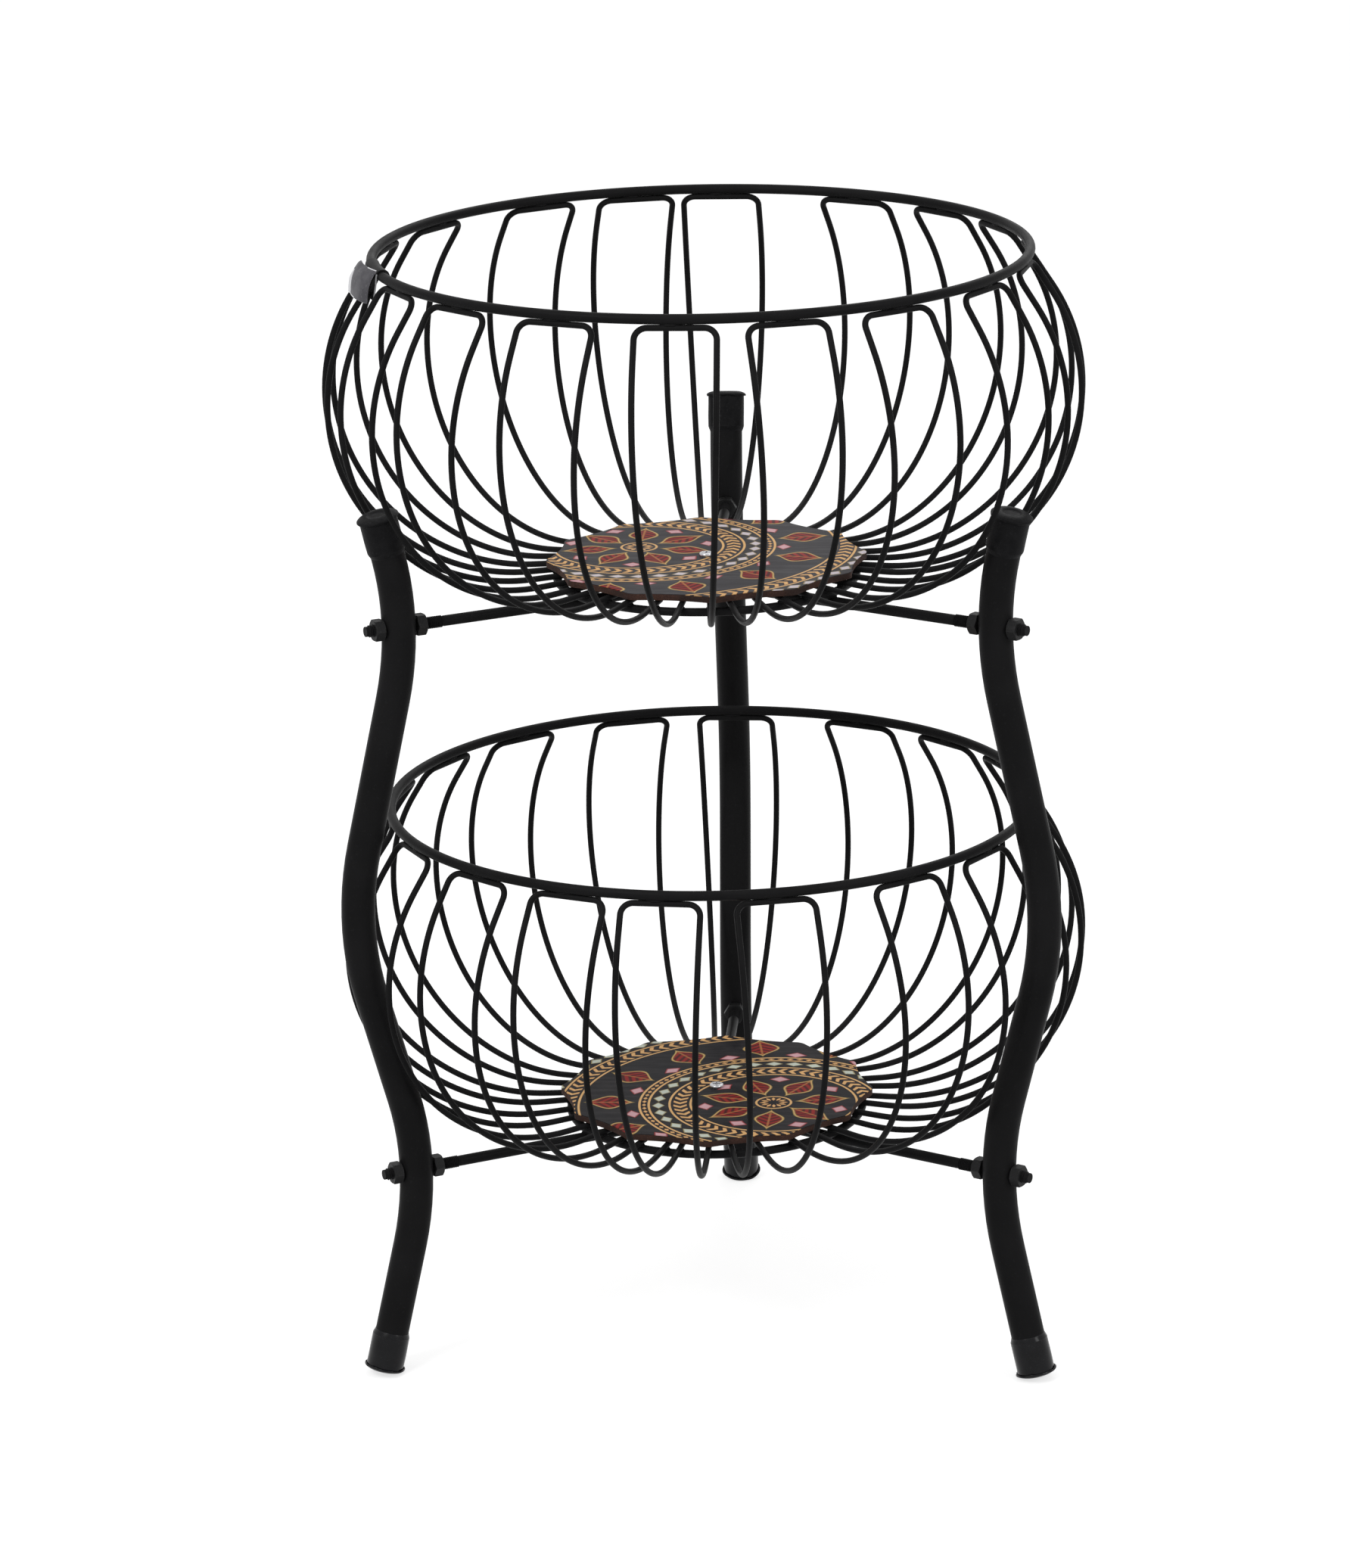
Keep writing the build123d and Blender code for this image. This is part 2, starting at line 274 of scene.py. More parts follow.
class GroupMaker:
    """Starts a node group with named inputs and outputs."""

    def __init__(self, name: str, inputs: dict[str, float], outputs: dict[str, str]) -> None:
        """Makes the group's tree and sockets.

        Args:
            name: The group's name.
            inputs: Number inputs with their first values.
            outputs: Outputs with their socket types.
        """
        self.tree = bpy.data.node_groups.new(name, "ShaderNodeTree")
        self.nodes = Nodes(self.tree)
        for label, value in inputs.items():
            socket = self.tree.interface.new_socket(
                name=label, in_out="INPUT", socket_type="NodeSocketFloat"
            )
            socket.default_value = value
        for label, kind in outputs.items():
            self.tree.interface.new_socket(name=label, in_out="OUTPUT", socket_type=kind)
        self.given = self.nodes.node("NodeGroupInput").outputs
        self.made = self.nodes.node("NodeGroupOutput").inputs

    def give(self, name: str, value: Input) -> None:
        """Links one output of the group.

        Args:
            name: The output.
            value: What it gives.
        """
        self.nodes.put(self.made[name], value)


def surface_grain_group() -> bpy.types.NodeTree:
    """Fine relief and slow colour variation of a coated or moulded surface.

    Returns:
        The group, with Height, Cloud and Speck outputs.
    """
    maker = GroupMaker(
        "surface grain",
        {"Grain Scale": 900.0, "Cloud Scale": 18.0, "Speck Amount": 0.3},
        {"Height": "NodeSocketFloat", "Cloud": "NodeSocketFloat", "Speck": "NodeSocketFloat"},
    )
    nodes, given = maker.nodes, maker.given
    place = nodes.object_place()
    maker.give("Height", nodes.noise(place, given["Grain Scale"], detail=3.0, rough=0.55))
    maker.give("Cloud", nodes.noise(place, given["Cloud Scale"], detail=4.0, rough=0.6))
    speck_scale = nodes.math("MULTIPLY", given["Grain Scale"], SPECK_SCALE_SHARE)
    specks = nodes.fade(nodes.noise(place, speck_scale, detail=1.0, rough=0.4), *SPECK_SPAN)
    maker.give("Speck", nodes.math("MULTIPLY", specks, given["Speck Amount"]))
    return maker.tree


def edge_wear_group() -> bpy.types.NodeTree:
    """Mask of the outer edges, broken up by noise.

    Returns:
        The group, with one Mask output.
    """
    maker = GroupMaker(
        "edge wear",
        {"Width": 0.0006, "Amount": 0.6, "Break Scale": 400.0},
        {"Mask": "NodeSocketFloat"},
    )
    nodes, given = maker.nodes, maker.given
    rounded = nodes.node("ShaderNodeBevel", {"Radius": given["Width"]}, samples=6)
    normal = nodes.node("ShaderNodeNewGeometry").outputs["Normal"]
    along = nodes.node(
        "ShaderNodeVectorMath", {0: rounded.outputs[0], 1: normal}, operation="DOT_PRODUCT"
    )
    edge = nodes.fade(nodes.math("SUBTRACT", 1.0, along.outputs["Value"]), *TURNED_EDGE_SPAN)
    cloud = nodes.noise(nodes.object_place(), given["Break Scale"], detail=3.0)
    broken = nodes.fade(cloud, *WEAR_BREAK_SPAN)
    kept = nodes.math("MULTIPLY_ADD", broken, 1 - UNBROKEN_WEAR, UNBROKEN_WEAR)
    mask = nodes.math("MULTIPLY", edge, kept)
    maker.give("Mask", nodes.math("MULTIPLY", mask, given["Amount"], clamp=True))
    return maker.tree


def dust_group() -> bpy.types.NodeTree:
    """Mask of the faces that look up, where dust settles.

    Returns:
        The group, with one Mask output.
    """
    maker = GroupMaker("settled dust", {"Amount": 0.1, "Scale": 60.0}, {"Mask": "NodeSocketFloat"})
    nodes, given = maker.nodes, maker.given
    normal = nodes.node("ShaderNodeNewGeometry").outputs["Normal"]
    up = nodes.node("ShaderNodeSeparateXYZ", {0: normal}).outputs["Z"]
    cloud = nodes.noise(nodes.object_place(), given["Scale"], detail=5.0, rough=0.65)
    patches = nodes.fade(cloud, *DUST_CLOUD_SPAN)
    mask = nodes.math("MULTIPLY", nodes.fade(up, *DUST_SLOPE_SPAN), patches)
    maker.give("Mask", nodes.math("MULTIPLY", mask, given["Amount"], clamp=True))
    return maker.tree


@dataclass(frozen=True)
class Effects:
    """The node groups that several finishes share."""

    grain: bpy.types.NodeTree
    wear: bpy.types.NodeTree
    dust: bpy.types.NodeTree

    @classmethod
    def make(cls) -> "Effects":
        """Builds each group once.

        Returns:
            The set of groups.
        """
        return cls(surface_grain_group(), edge_wear_group(), dust_group())


@dataclass(frozen=True)
class CoatedFinish:
    """A dark painted, moulded or plated surface with grain, wear and dust."""

    name: str
    colour: Colour
    cloud_colour: Colour
    worn_colour: Colour
    dust_colour: Colour = (0.16, 0.155, 0.15)
    roughness_low: float = 0.4
    roughness_high: float = 0.52
    worn_roughness: float = 0.5
    metallic: float = 0.0
    specular: float = 0.2
    grain_scale: float = 900.0
    grain_depth: float = 0.00004
    cloud_scale: float = 18.0
    speck_amount: float = 0.25
    wear_width: float = 0.0005
    wear_amount: float = 0.3
    dust_amount: float = 0.05

    def build(self, effects: Effects) -> bpy.types.Material:
        """Makes the material.

        Args:
            effects: The shared node groups.

        Returns:
            The material.
        """
        material, nodes, shader = new_material(self.name)
        grain = nodes.group(
            effects.grain,
            Grain_Scale=self.grain_scale,
            Cloud_Scale=self.cloud_scale,
            Speck_Amount=self.speck_amount,
        ).outputs
        wear = nodes.group(
            effects.wear, Width=self.wear_width, Amount=self.wear_amount
        ).outputs["Mask"]
        dust = nodes.group(effects.dust, Amount=self.dust_amount).outputs["Mask"]
        cloud = nodes.fade(grain["Cloud"], *CLOUD_SPAN)
        colour = nodes.mix(cloud, self.colour, self.cloud_colour)
        colour = nodes.mix(grain["Speck"], colour, self.worn_colour)
        colour = nodes.mix(wear, colour, self.worn_colour)
        nodes.put(shader.inputs["Base Color"], nodes.mix(dust, colour, self.dust_colour))
        rough = nodes.fade(grain["Cloud"], *CLOUD_SPAN, self.roughness_low, self.roughness_high)
        rough = nodes.math("ADD", rough, nodes.math("MULTIPLY", dust, DUST_ROUGHENING))
        change = self.worn_roughness - self.roughness_low
        nodes.put(shader.inputs["Roughness"], nodes.math("MULTIPLY_ADD", wear, change, rough))
        shader.inputs["Metallic"].default_value = self.metallic
        shader.inputs["Specular IOR Level"].default_value = self.specular
        nodes.put(shader.inputs["Normal"], relief(nodes, grain["Height"], self.grain_depth))
        return material


def new_material(name: str) -> tuple[bpy.types.Material, Nodes, bpy.types.Node]:
    """Starts a material with one Principled shader.

    Args:
        name: The material's name.

    Returns:
        The material, its node helper and its shader.
    """
    material = bpy.data.materials.new(name)
    material.use_nodes = True
    shader = next(n for n in material.node_tree.nodes if n.type == "BSDF_PRINCIPLED")
    return material, Nodes(material.node_tree), shader


def relief(nodes: Nodes, height: Socket, depth: float) -> Socket:
    """Turns a height into a bumped normal.

    Args:
        nodes: The material's node helper.
        height: The height, from 0 to 1.
        depth: What a height of 1 means, in metres.

    Returns:
        The normal.
    """
    bump = nodes.node("ShaderNodeBump", {"Height": height, "Distance": depth, "Strength": 1.0})
    return bump.outputs[0]


@dataclass(frozen=True)
class FibreboardFinish:
    """The pressed board under the print, seen at its sawn rim."""

    name: str = "dark fibreboard"
    colour: Colour = (0.040, 0.017, 0.012)
    pale_fibre: Colour = (0.115, 0.055, 0.036)
    burnt: Colour = (0.012, 0.007, 0.006)
    layer_scale: float = 2600.0
    layer_stretch: tuple[float, float, float] = (0.25, 0.25, 1.0)
    layer_span: Span = (0.42, 0.68)
    layer_share: float = 0.6
    fibre_scale: float = 900.0
    fibre_span: Span = (0.35, 0.7)
    fibre_share: float = 0.4
    fibre_depth: float = 0.00025
    patch_scale: float = 35.0
    patch_span: Span = (0.42, 0.62)
    burnt_most: float = 0.7
    roughness: Span = (0.72, 0.9)
    specular: float = 0.25

    def build(self, effects: Effects) -> bpy.types.Material:
        """Makes the material.

        Args:
            effects: The shared node groups.

        Returns:
            The material.
        """
        material, nodes, shader = new_material(self.name)
        place = nodes.object_place()
        flat = nodes.node("ShaderNodeMapping", {"Vector": place, "Scale": self.layer_stretch})
        layers = nodes.noise(flat.outputs[0], self.layer_scale, detail=3.0, rough=0.6)
        fibres = nodes.noise(place, self.fibre_scale, detail=5.0, rough=0.7)
        patches = nodes.noise(place, self.patch_scale, detail=3.0, rough=0.55)
        pale = nodes.fade(fibres, *self.fibre_span)
        mask = nodes.math("MULTIPLY", nodes.fade(layers, *self.layer_span), pale)
        colour = nodes.mix(mask, self.colour, self.pale_fibre)
        burnt = nodes.fade(patches, *self.patch_span, 0.0, self.burnt_most)
        colour = nodes.mix(burnt, colour, self.burnt)
        wear = nodes.group(effects.wear, Width=0.0004, Amount=0.5).outputs["Mask"]
        nodes.put(shader.inputs["Base Color"], nodes.mix(wear, colour, self.pale_fibre))
        nodes.put(shader.inputs["Roughness"], nodes.fade(fibres, *CLOUD_SPAN, *self.roughness))
        shader.inputs["Specular IOR Level"].default_value = self.specular
        height = nodes.math("MULTIPLY", fibres, self.fibre_share)
        height = nodes.math("MULTIPLY_ADD", layers, self.layer_share, height)
        nodes.put(shader.inputs["Normal"], relief(nodes, height, self.fibre_depth))
        return material


@dataclass(frozen=True)
class MotifRing:
    """A ring of like motifs in a print, in millimetres from the pattern's middle."""

    count: int
    at: float
    half_long: float
    half_wide: float
    start: float = 0.0


@dataclass(frozen=True)
class PrintedSheetFinish:
    """A satin print: rings of leaves, lozenges and chevrons on a charcoal ground.

    The rings and lines are laid out in millimetres from the middle of the pattern, which lies
    off the board's own middle.
    """

    name: str
    middle: tuple[float, float]
    turn: float
    ground: Colour
    ground_streak: Colour
    ivory: Colour
    gold: Colour = (0.46, 0.19, 0.060)
    pale_gold: Colour = (0.72, 0.43, 0.18)
    olive_gold: Colour = (0.27, 0.20, 0.062)
    maroon: Colour = (0.27, 0.017, 0.015)
    dark_maroon: Colour = (0.065, 0.008, 0.009)
    blush: Colour = (0.62, 0.36, 0.39)
    haze: Colour = (0.12, 0.11, 0.11)
    haze_scale: float = 45.0
    haze_span: Span = (0.35, 0.8)
    haze_most: float = 0.08
    dust: Colour = (0.24, 0.23, 0.22)
    dust_roughening: float = 0.8
    gloss_span: Span = (0.25, 0.75)
    roughness: Span = (0.31, 0.44)
    specular: float = 0.015
    grain_depth: float = 0.00002
    softness: float = 0.35
    leaf_rings: tuple[MotifRing, ...] = (
        MotifRing(7, 33.0, 21.0, 10.5), MotifRing(13, 110.0, 19.0, 13.0),
    )
    bud_rings: tuple[MotifRing, ...] = (
        MotifRing(7, 46.0, 7.5, 6.0, 0.5), MotifRing(13, 95.5, 8.0, 5.5, 0.5),
    )
    ivory_rings: tuple[MotifRing, ...] = (
        MotifRing(35, 77.0, 6.6, 4.6), MotifRing(66, 149.0, 6.6, 4.6),
    )
    gold_rings: tuple[MotifRing, ...] = (
        MotifRing(12, 6.5, 1.5, 3.4), MotifRing(84, 86.5, 2.7, 1.7),
    )
    chevron_rings: tuple[MotifRing, ...] = (
        MotifRing(54, 62.5, 1.9, 4.6), MotifRing(108, 137.0, 1.9, 4.6),
    )
    lines: tuple[float, ...] = (11.6, 55.5, 69.5, 83.4, 89.6, 130.2, 143.0)
    line_half: float = 0.6
    motif_edge: Span = (0.0, 0.12)
    motif_middle: Span = (0.06, 0.42)
    chevron_sweep: float = 0.8
    chevron_end: Span = (1.0, 0.88)
    rib_pitch: float = 1.1
    rib_slant: float = 0.8
    rib_span: Span = (-0.9, 0.7)
    midrib: Span = (1.1, 0.3)
    midrib_most: float = 0.7
    border: Span = (2.7, 1.7)
    outline: float = 1.2
    outline_half: Span = (0.6, 0.1)
    streak_scale: float = 26.0
    streak_stretch: float = 9.0
    streak_span: Span = (0.42, 0.72)

    def build(self, effects: Effects) -> bpy.types.Material:
        """Makes the material.

        Args:
            effects: The shared node groups.

        Returns:
            The material.
        """
        material, nodes, shader = new_material(self.name)
        place = nodes.object_place()
        colour = PrintPattern(self, nodes, place).colour()
        haze = nodes.noise(place, self.haze_scale, detail=4.0, rough=0.6)
        hazy = nodes.fade(haze, *self.haze_span, 0.0, self.haze_most)
        colour = nodes.mix(hazy, colour, self.haze)
        dust = nodes.group(effects.dust, Amount=0.04, Scale=90.0).outputs["Mask"]
        nodes.put(shader.inputs["Base Color"], nodes.mix(dust, colour, self.dust))
        rough = nodes.fade(haze, *self.gloss_span, *self.roughness)
        dusty = nodes.math("MULTIPLY", dust, self.dust_roughening)
        nodes.put(shader.inputs["Roughness"], nodes.math("ADD", rough, dusty))
        shader.inputs["Specular IOR Level"].default_value = self.specular
        grain = nodes.group(effects.grain, Grain_Scale=500.0, Cloud_Scale=30.0).outputs
        nodes.put(shader.inputs["Normal"], relief(nodes, grain["Height"], self.grain_depth))
        return material


class PrintPattern:
    """Paints a print's rings of motifs into a material, in millimetres."""

    def __init__(self, finish: PrintedSheetFinish, nodes: Nodes, place: Socket) -> None:
        """Measures distance and direction from the pattern's middle.

        Args:
            finish: The print's colours and rings.
            nodes: The material's node helper.
            place: Coordinates in metres.
        """
        self.finish = finish
        self.nodes = nodes
        self.place = place
        parts = nodes.node("ShaderNodeSeparateXYZ", {0: place}).outputs
        x, y = (
            nodes.math("MULTIPLY_ADD", parts[axis], 1 / MM, -middle)
            for axis, middle in zip("XY", finish.middle)
        )
        squares = nodes.math("MULTIPLY_ADD", x, x, nodes.math("MULTIPLY", y, y))
        self.radius = nodes.math("SQRT", squares)
        direction = nodes.math("ARCTAN2", y, x)
        self.angle = nodes.math("ADD", direction, math.pi + math.radians(finish.turn))

    def colour(self) -> Socket:
        """Paints every ring and line over the ground.

        Returns:
            The whole pattern's colour.
        """
        finish = self.finish
        colour = self.charcoal()
        for ring in finish.leaf_rings:
            colour = self.leaves(colour, ring)
        for rings, shape, rim, middle in (
            (finish.bud_rings, self.lozenges, finish.maroon, finish.blush),
            (finish.ivory_rings, self.lozenges, finish.olive_gold, finish.ivory),
            (finish.gold_rings, self.lozenges, finish.gold, finish.pale_gold),
            (finish.chevron_rings, self.chevrons, finish.gold, finish.pale_gold),
        ):
            for ring in rings:
                colour = self.filled(colour, shape(ring), rim, middle)
        for at in finish.lines:
            colour = self.nodes.mix(self.line(at), colour, finish.pale_gold)
        return colour

    def cell(self, angle: Socket, ring: MotifRing) -> Socket:
        """Angle from the middle of the nearest of a ring's motifs.

        Args:
            angle: The angle from the pattern's middle.
            ring: The ring.

        Returns:
            The angle in radians, zero at the motif's middle.
        """
        turns = self.nodes.math("MULTIPLY_ADD", angle, ring.count / FULL_TURN, ring.start)
        share = self.nodes.math("SUBTRACT", self.nodes.math("FRACT", turns), 0.5)
        return self.nodes.math("MULTIPLY", share, FULL_TURN / ring.count)

    def off(self, at: float) -> Socket:
        """Distance from a circle of the given radius, inward or outward."""
        return self.nodes.math("ABSOLUTE", self.nodes.math("SUBTRACT", self.radius, at))

    def across(self, ring: MotifRing) -> Socket:
        """Distance from a ring's middle line, as a share of its half width."""
        return self.nodes.math("DIVIDE", self.off(ring.at), ring.half_wide)

    def line(self, at: float) -> Socket:
        """Mask of a thin line round the pattern's middle, at the given radius."""
        half = self.finish.line_half
        return self.nodes.fade(self.off(at), half + self.finish.softness, half)

    def filled(self, under: Socket, depth: Socket, rim: Colour, middle: Colour) -> Socket:
        """Paints motifs over a colour, from their rim's colour to their middle's.

        Args:
            under: The colour so far.
            depth: 1 at a motif's middle and 0 at its edge.
            rim: The colour at the edge.
            middle: The colour inside.

        Returns:
            The colour with the motifs.
        """
        inside = self.nodes.fade(depth, *self.finish.motif_middle)
        shape = self.nodes.fade(depth, *self.finish.motif_edge)
        return self.nodes.mix(shape, under, self.nodes.mix(inside, rim, middle))

    def lozenges(self, ring: MotifRing) -> Socket:
        """A ring of lozenges.

        Args:
            ring: The ring.

        Returns:
            A depth that is 1 at a lozenge's middle and 0 at its edge.
        """
        nodes = self.nodes
        along = nodes.math("MULTIPLY", self.cell(self.angle, ring), ring.at / ring.half_long)
        total = nodes.math("ADD", nodes.math("ABSOLUTE", along), self.across(ring))
        return nodes.math("SUBTRACT", 1.0, total)

    def chevrons(self, ring: MotifRing) -> Socket:
        """A band of chevrons that point along the ring.

        Args:
            ring: The band.

        Returns:
            A depth that is 1 on a chevron's middle line and 0 at its edge.
        """
        nodes = self.nodes
        across = self.across(ring)
        sweep = self.finish.chevron_sweep * ring.half_wide / ring.at
        swept = nodes.math("MULTIPLY_ADD", across, sweep, self.angle)
        along = nodes.math("MULTIPLY", self.cell(swept, ring), ring.at / ring.half_long)
        depth = nodes.math("SUBTRACT", 1.0, nodes.math("ABSOLUTE", along))
        return nodes.math("MULTIPLY", depth, nodes.fade(across, *self.finish.chevron_end))

    def leaves(self, under: Socket, ring: MotifRing) -> Socket:
        """Paints a ring of pointed leaves with gold outlines over a colour.

        Args:
            under: The colour so far.
            ring: The ring, its half length along the radius.

        Returns:
            The colour with the leaves.
        """
        finish, nodes, radius = self.finish, self.nodes, self.radius
        share = nodes.fade(radius, ring.at - ring.half_long, ring.at + ring.half_long)
        bulge = nodes.math("SINE", nodes.math("MULTIPLY", share, math.pi))
        width = nodes.math("MULTIPLY", bulge, ring.half_wide)
        aside = nodes.math("MULTIPLY", self.cell(self.angle, ring), radius)
        aside = nodes.math("ABSOLUTE", aside)
        room = nodes.math("SUBTRACT", width, aside)
        slant = nodes.math("MULTIPLY", aside, finish.rib_slant)
        ribs = nodes.math("SINE", nodes.math("MULTIPLY_ADD", radius, finish.rib_pitch, slant))
        body = nodes.mix(nodes.fade(ribs, *finish.rib_span), finish.dark_maroon, finish.maroon)
        midrib = nodes.fade(aside, *finish.midrib, 0.0, finish.midrib_most)
        body = nodes.mix(midrib, body, finish.gold)
        body = nodes.mix(nodes.fade(room, *finish.border), body, finish.olive_gold)
        middle = nodes.math("ABSOLUTE", nodes.math("SUBTRACT", room, finish.outline))
        body = nodes.mix(nodes.fade(middle, *finish.outline_half), body, finish.pale_gold)
        return nodes.mix(nodes.fade(room, 0.0, finish.softness), under, body)

    def charcoal(self) -> Socket:
        """The print's dark ground, with faint long streaks.

        Returns:
            The ground's colour.
        """
        finish, nodes = self.finish, self.nodes
        rotation = (0.0, 0.0, math.radians(finish.turn))
        stretch = (1.0, finish.streak_stretch, 1.0)
        turned = nodes.node(
            "ShaderNodeMapping", {"Vector": self.place, "Rotation": rotation, "Scale": stretch}
        )
        noise = nodes.noise(turned.outputs[0], finish.streak_scale, detail=5.0, rough=0.6)
        streaks = nodes.fade(noise, *finish.streak_span)
        return nodes.mix(streaks, finish.ground, finish.ground_streak)


@dataclass(frozen=True)
class PlateFinish:
    """The small bare plate on the rim: dark grey enamel with bright rims."""

    name: str = "grey tag plate"
    colour: Colour = (0.088, 0.085, 0.095)
    shade: Colour = (0.058, 0.056, 0.064)
    rim: Colour = (0.72, 0.72, 0.74)
    shade_span: Span = (0.35, 0.65)
    roughness: Span = (0.42, 0.54)
    specular: float = 0.12
    grain_depth: float = 0.00002

    def build(self, effects: Effects) -> bpy.types.Material:
        """Makes the material.

        Args:
            effects: The shared node groups.

        Returns:
            The material.
        """
        material, nodes, shader = new_material(self.name)
        grain = nodes.group(
            effects.grain, Grain_Scale=1400.0, Cloud_Scale=70.0, Speck_Amount=0.12
        ).outputs
        wear = nodes.group(effects.wear, Width=0.0005, Amount=0.8, Break_Scale=250.0).outputs["Mask"]
        shade = nodes.fade(grain["Cloud"], *self.shade_span)
        colour = nodes.mix(shade, self.colour, self.shade)
        colour = nodes.mix(grain["Speck"], colour, self.rim)
        nodes.put(shader.inputs["Base Color"], nodes.mix(wear, colour, self.rim))
        rough = nodes.fade(grain["Cloud"], *CLOUD_SPAN, *self.roughness)
        nodes.put(shader.inputs["Roughness"], rough)
        shader.inputs["Specular IOR Level"].default_value = self.specular
        nodes.put(shader.inputs["Normal"], relief(nodes, grain["Height"], self.grain_depth))
        return material


class Finishes:
    """Every material of the object, by the record's slot."""

    def __init__(self) -> None:
        """Builds the shared effects and each material once."""
        effects = Effects.make()
        self.paint = CoatedFinish(
            "satin black paint", (0.0086, 0.0085, 0.0088), (0.0122, 0.0120, 0.0125),
            worn_colour=(0.022, 0.022, 0.023), specular=0.03, roughness_low=0.36,
            roughness_high=0.50, dust_amount=0.03,
        ).build(effects)
        # The nuts' worn edges are partly wear and partly painted highlight: the lighter worn colour
        # brightens the edges where light catches them
        self.nuts = CoatedFinish(
            "black painted nuts", (0.0095, 0.0095, 0.0098), (0.0145, 0.0145, 0.0150),
            worn_colour=(0.060, 0.060, 0.062), specular=0.12, roughness_low=0.32,
            wear_width=0.0005, wear_amount=0.6, grain_scale=1500.0, dust_amount=0.03,
        ).build(effects)
        self.rubber = CoatedFinish(
            "moulded black rubber", (0.0036, 0.0036, 0.0044), (0.0066, 0.0066, 0.0079),
            worn_colour=(0.024, 0.024, 0.026), specular=0.155, roughness_low=0.17,
            roughness_high=0.24, worn_roughness=0.45, grain_scale=1200.0,
            grain_depth=0.000015, cloud_scale=120.0, speck_amount=0.3, wear_width=0.0009,
            wear_amount=0.3, dust_amount=0.04,
        ).build(effects)
        self.cap_rubber = CoatedFinish(
            "textured black rubber", (0.0068, 0.0068, 0.0074), (0.0115, 0.0115, 0.0122),
            worn_colour=(0.024, 0.024, 0.026), specular=0.045, roughness_low=0.42,
            roughness_high=0.58, worn_roughness=0.7, grain_scale=650.0,
            grain_depth=0.00016, cloud_scale=160.0, speck_amount=0.4, wear_width=0.0009,
            wear_amount=0.35, dust_amount=0.03,
        ).build(effects)
        self.steel = CoatedFinish(
            "bright plated steel", (0.62, 0.62, 0.64), (0.50, 0.50, 0.52),
            worn_colour=(0.80, 0.80, 0.82), metallic=1.0, specular=0.5, roughness_low=0.2,
            roughness_high=0.34, worn_roughness=0.3, grain_scale=2600.0,
            grain_depth=0.00002, wear_width=0.0003, dust_amount=0.04,
        ).build(effects)
        self.board = FibreboardFinish().build(effects)
        self.plate = PlateFinish().build(effects)
        # Bright cut edge of the plate, also used for the strips of painted highlight on the tag's face
        self.plate_edge = CoatedFinish(
            "bright plate edge", (0.74, 0.74, 0.76), (0.62, 0.62, 0.64),
            worn_colour=(0.80, 0.80, 0.82), metallic=0.3, specular=0.5, roughness_low=0.26,
            roughness_high=0.38, grain_scale=2400.0, grain_depth=0.00002, dust_amount=0.03,
        ).build(effects)
        # Light grey painted highlight along part of the clip's edge
        self.clip_edge = CoatedFinish(
            "dull clip edge", (0.42, 0.42, 0.43), (0.34, 0.34, 0.35),
            worn_colour=(0.50, 0.50, 0.51), specular=0.3, grain_scale=2400.0, grain_depth=0.00002,
        ).build(effects)
        self.prints = {
            Tier.UPPER: PrintedSheetFinish(
                "upper print", (-46.0, 24.0), 14.0, ground=(0.036, 0.034, 0.038),
                ground_streak=(0.060, 0.057, 0.061), ivory=(0.60, 0.54, 0.58),
            ).build(effects),
            Tier.LOWER: PrintedSheetFinish(
                "lower print", (40.0, -30.0), 41.0, ground=(0.013, 0.012, 0.014),
                ground_streak=(0.027, 0.025, 0.027), ivory=(0.56, 0.60, 0.52),
            ).build(effects),
        }

    def for_slot(self, slot: str, node: str) -> bpy.types.Material:
        """The material of a node.

        Args:
            slot: The node's slot in the record.
            node: The node's name, which tells the two prints apart.

        Returns:
            The material.
        """
        if slot == "printed_sheet":
            return self.prints[Tier(node.split("_")[0])]
        return {
            "black_paint": self.paint,
            "black_nuts": self.nuts,
            "black_rubber": self.rubber,
            "bright_steel": self.steel,
            "brown_board": self.board,
            "grey_tag": self.plate,
        }[slot]


def dress(obj: bpy.types.Object, material: bpy.types.Material) -> None:
    """Gives an object one material.

    Args:
        obj: The object.
        material: Its material.
    """
    obj.data.materials.clear()
    obj.data.materials.append(material)


def make_piece(
    name: str, mesh: bpy.types.Mesh, material: bpy.types.Material
) -> bpy.types.Object:
    """Puts a new piece into the scene, on the stand's body.

    Args:
        name: The piece's name.
        mesh: Its mesh, in the stand's frame.
        material: Its material.

    Returns:
        The piece.
    """
    mesh.name = name
    for face in mesh.polygons:
        face.use_smooth = True
    piece = bpy.data.objects.new(name, mesh)
    bpy.context.scene.collection.objects.link(piece)
    dress(piece, material)
    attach(piece, ROOT)
    log.info("made %s with %d faces", name, len(mesh.polygons))
    return piece


def mesh_from(form: Form, closed: bool = True) -> bpy.types.Mesh:
    """Makes a mesh, with the faces of a closed one looking outward.

    Args:
        form: The points, and the indices of each face's points.
        closed: Whether it encloses a space; an open sheet keeps its faces' own sides.

    Returns:
        The mesh.
    """
    vertices, faces = form
    mesh = bpy.data.meshes.new("piece")
    mesh.from_pydata([tuple(v) for v in vertices], [], faces)
    if not closed:
        return mesh
    work = bmesh.new()
    work.from_mesh(mesh)
    bmesh.ops.remove_doubles(work, verts=work.verts, dist=MERGE_DISTANCE)
    bmesh.ops.recalc_face_normals(work, faces=work.faces)
    work.to_mesh(mesh)
    work.free()
    return mesh


def together(forms: Iterable[Form]) -> Form:
    """Joins the points and faces of several forms.

    Args:
        forms: The forms.

    Returns:
        One form.
    """
    vertices, faces = [], []
    for points, rims in forms:
        offset = len(vertices)
        vertices += points
        faces += [tuple(offset + index for index in rim) for rim in rims]
    return vertices, faces


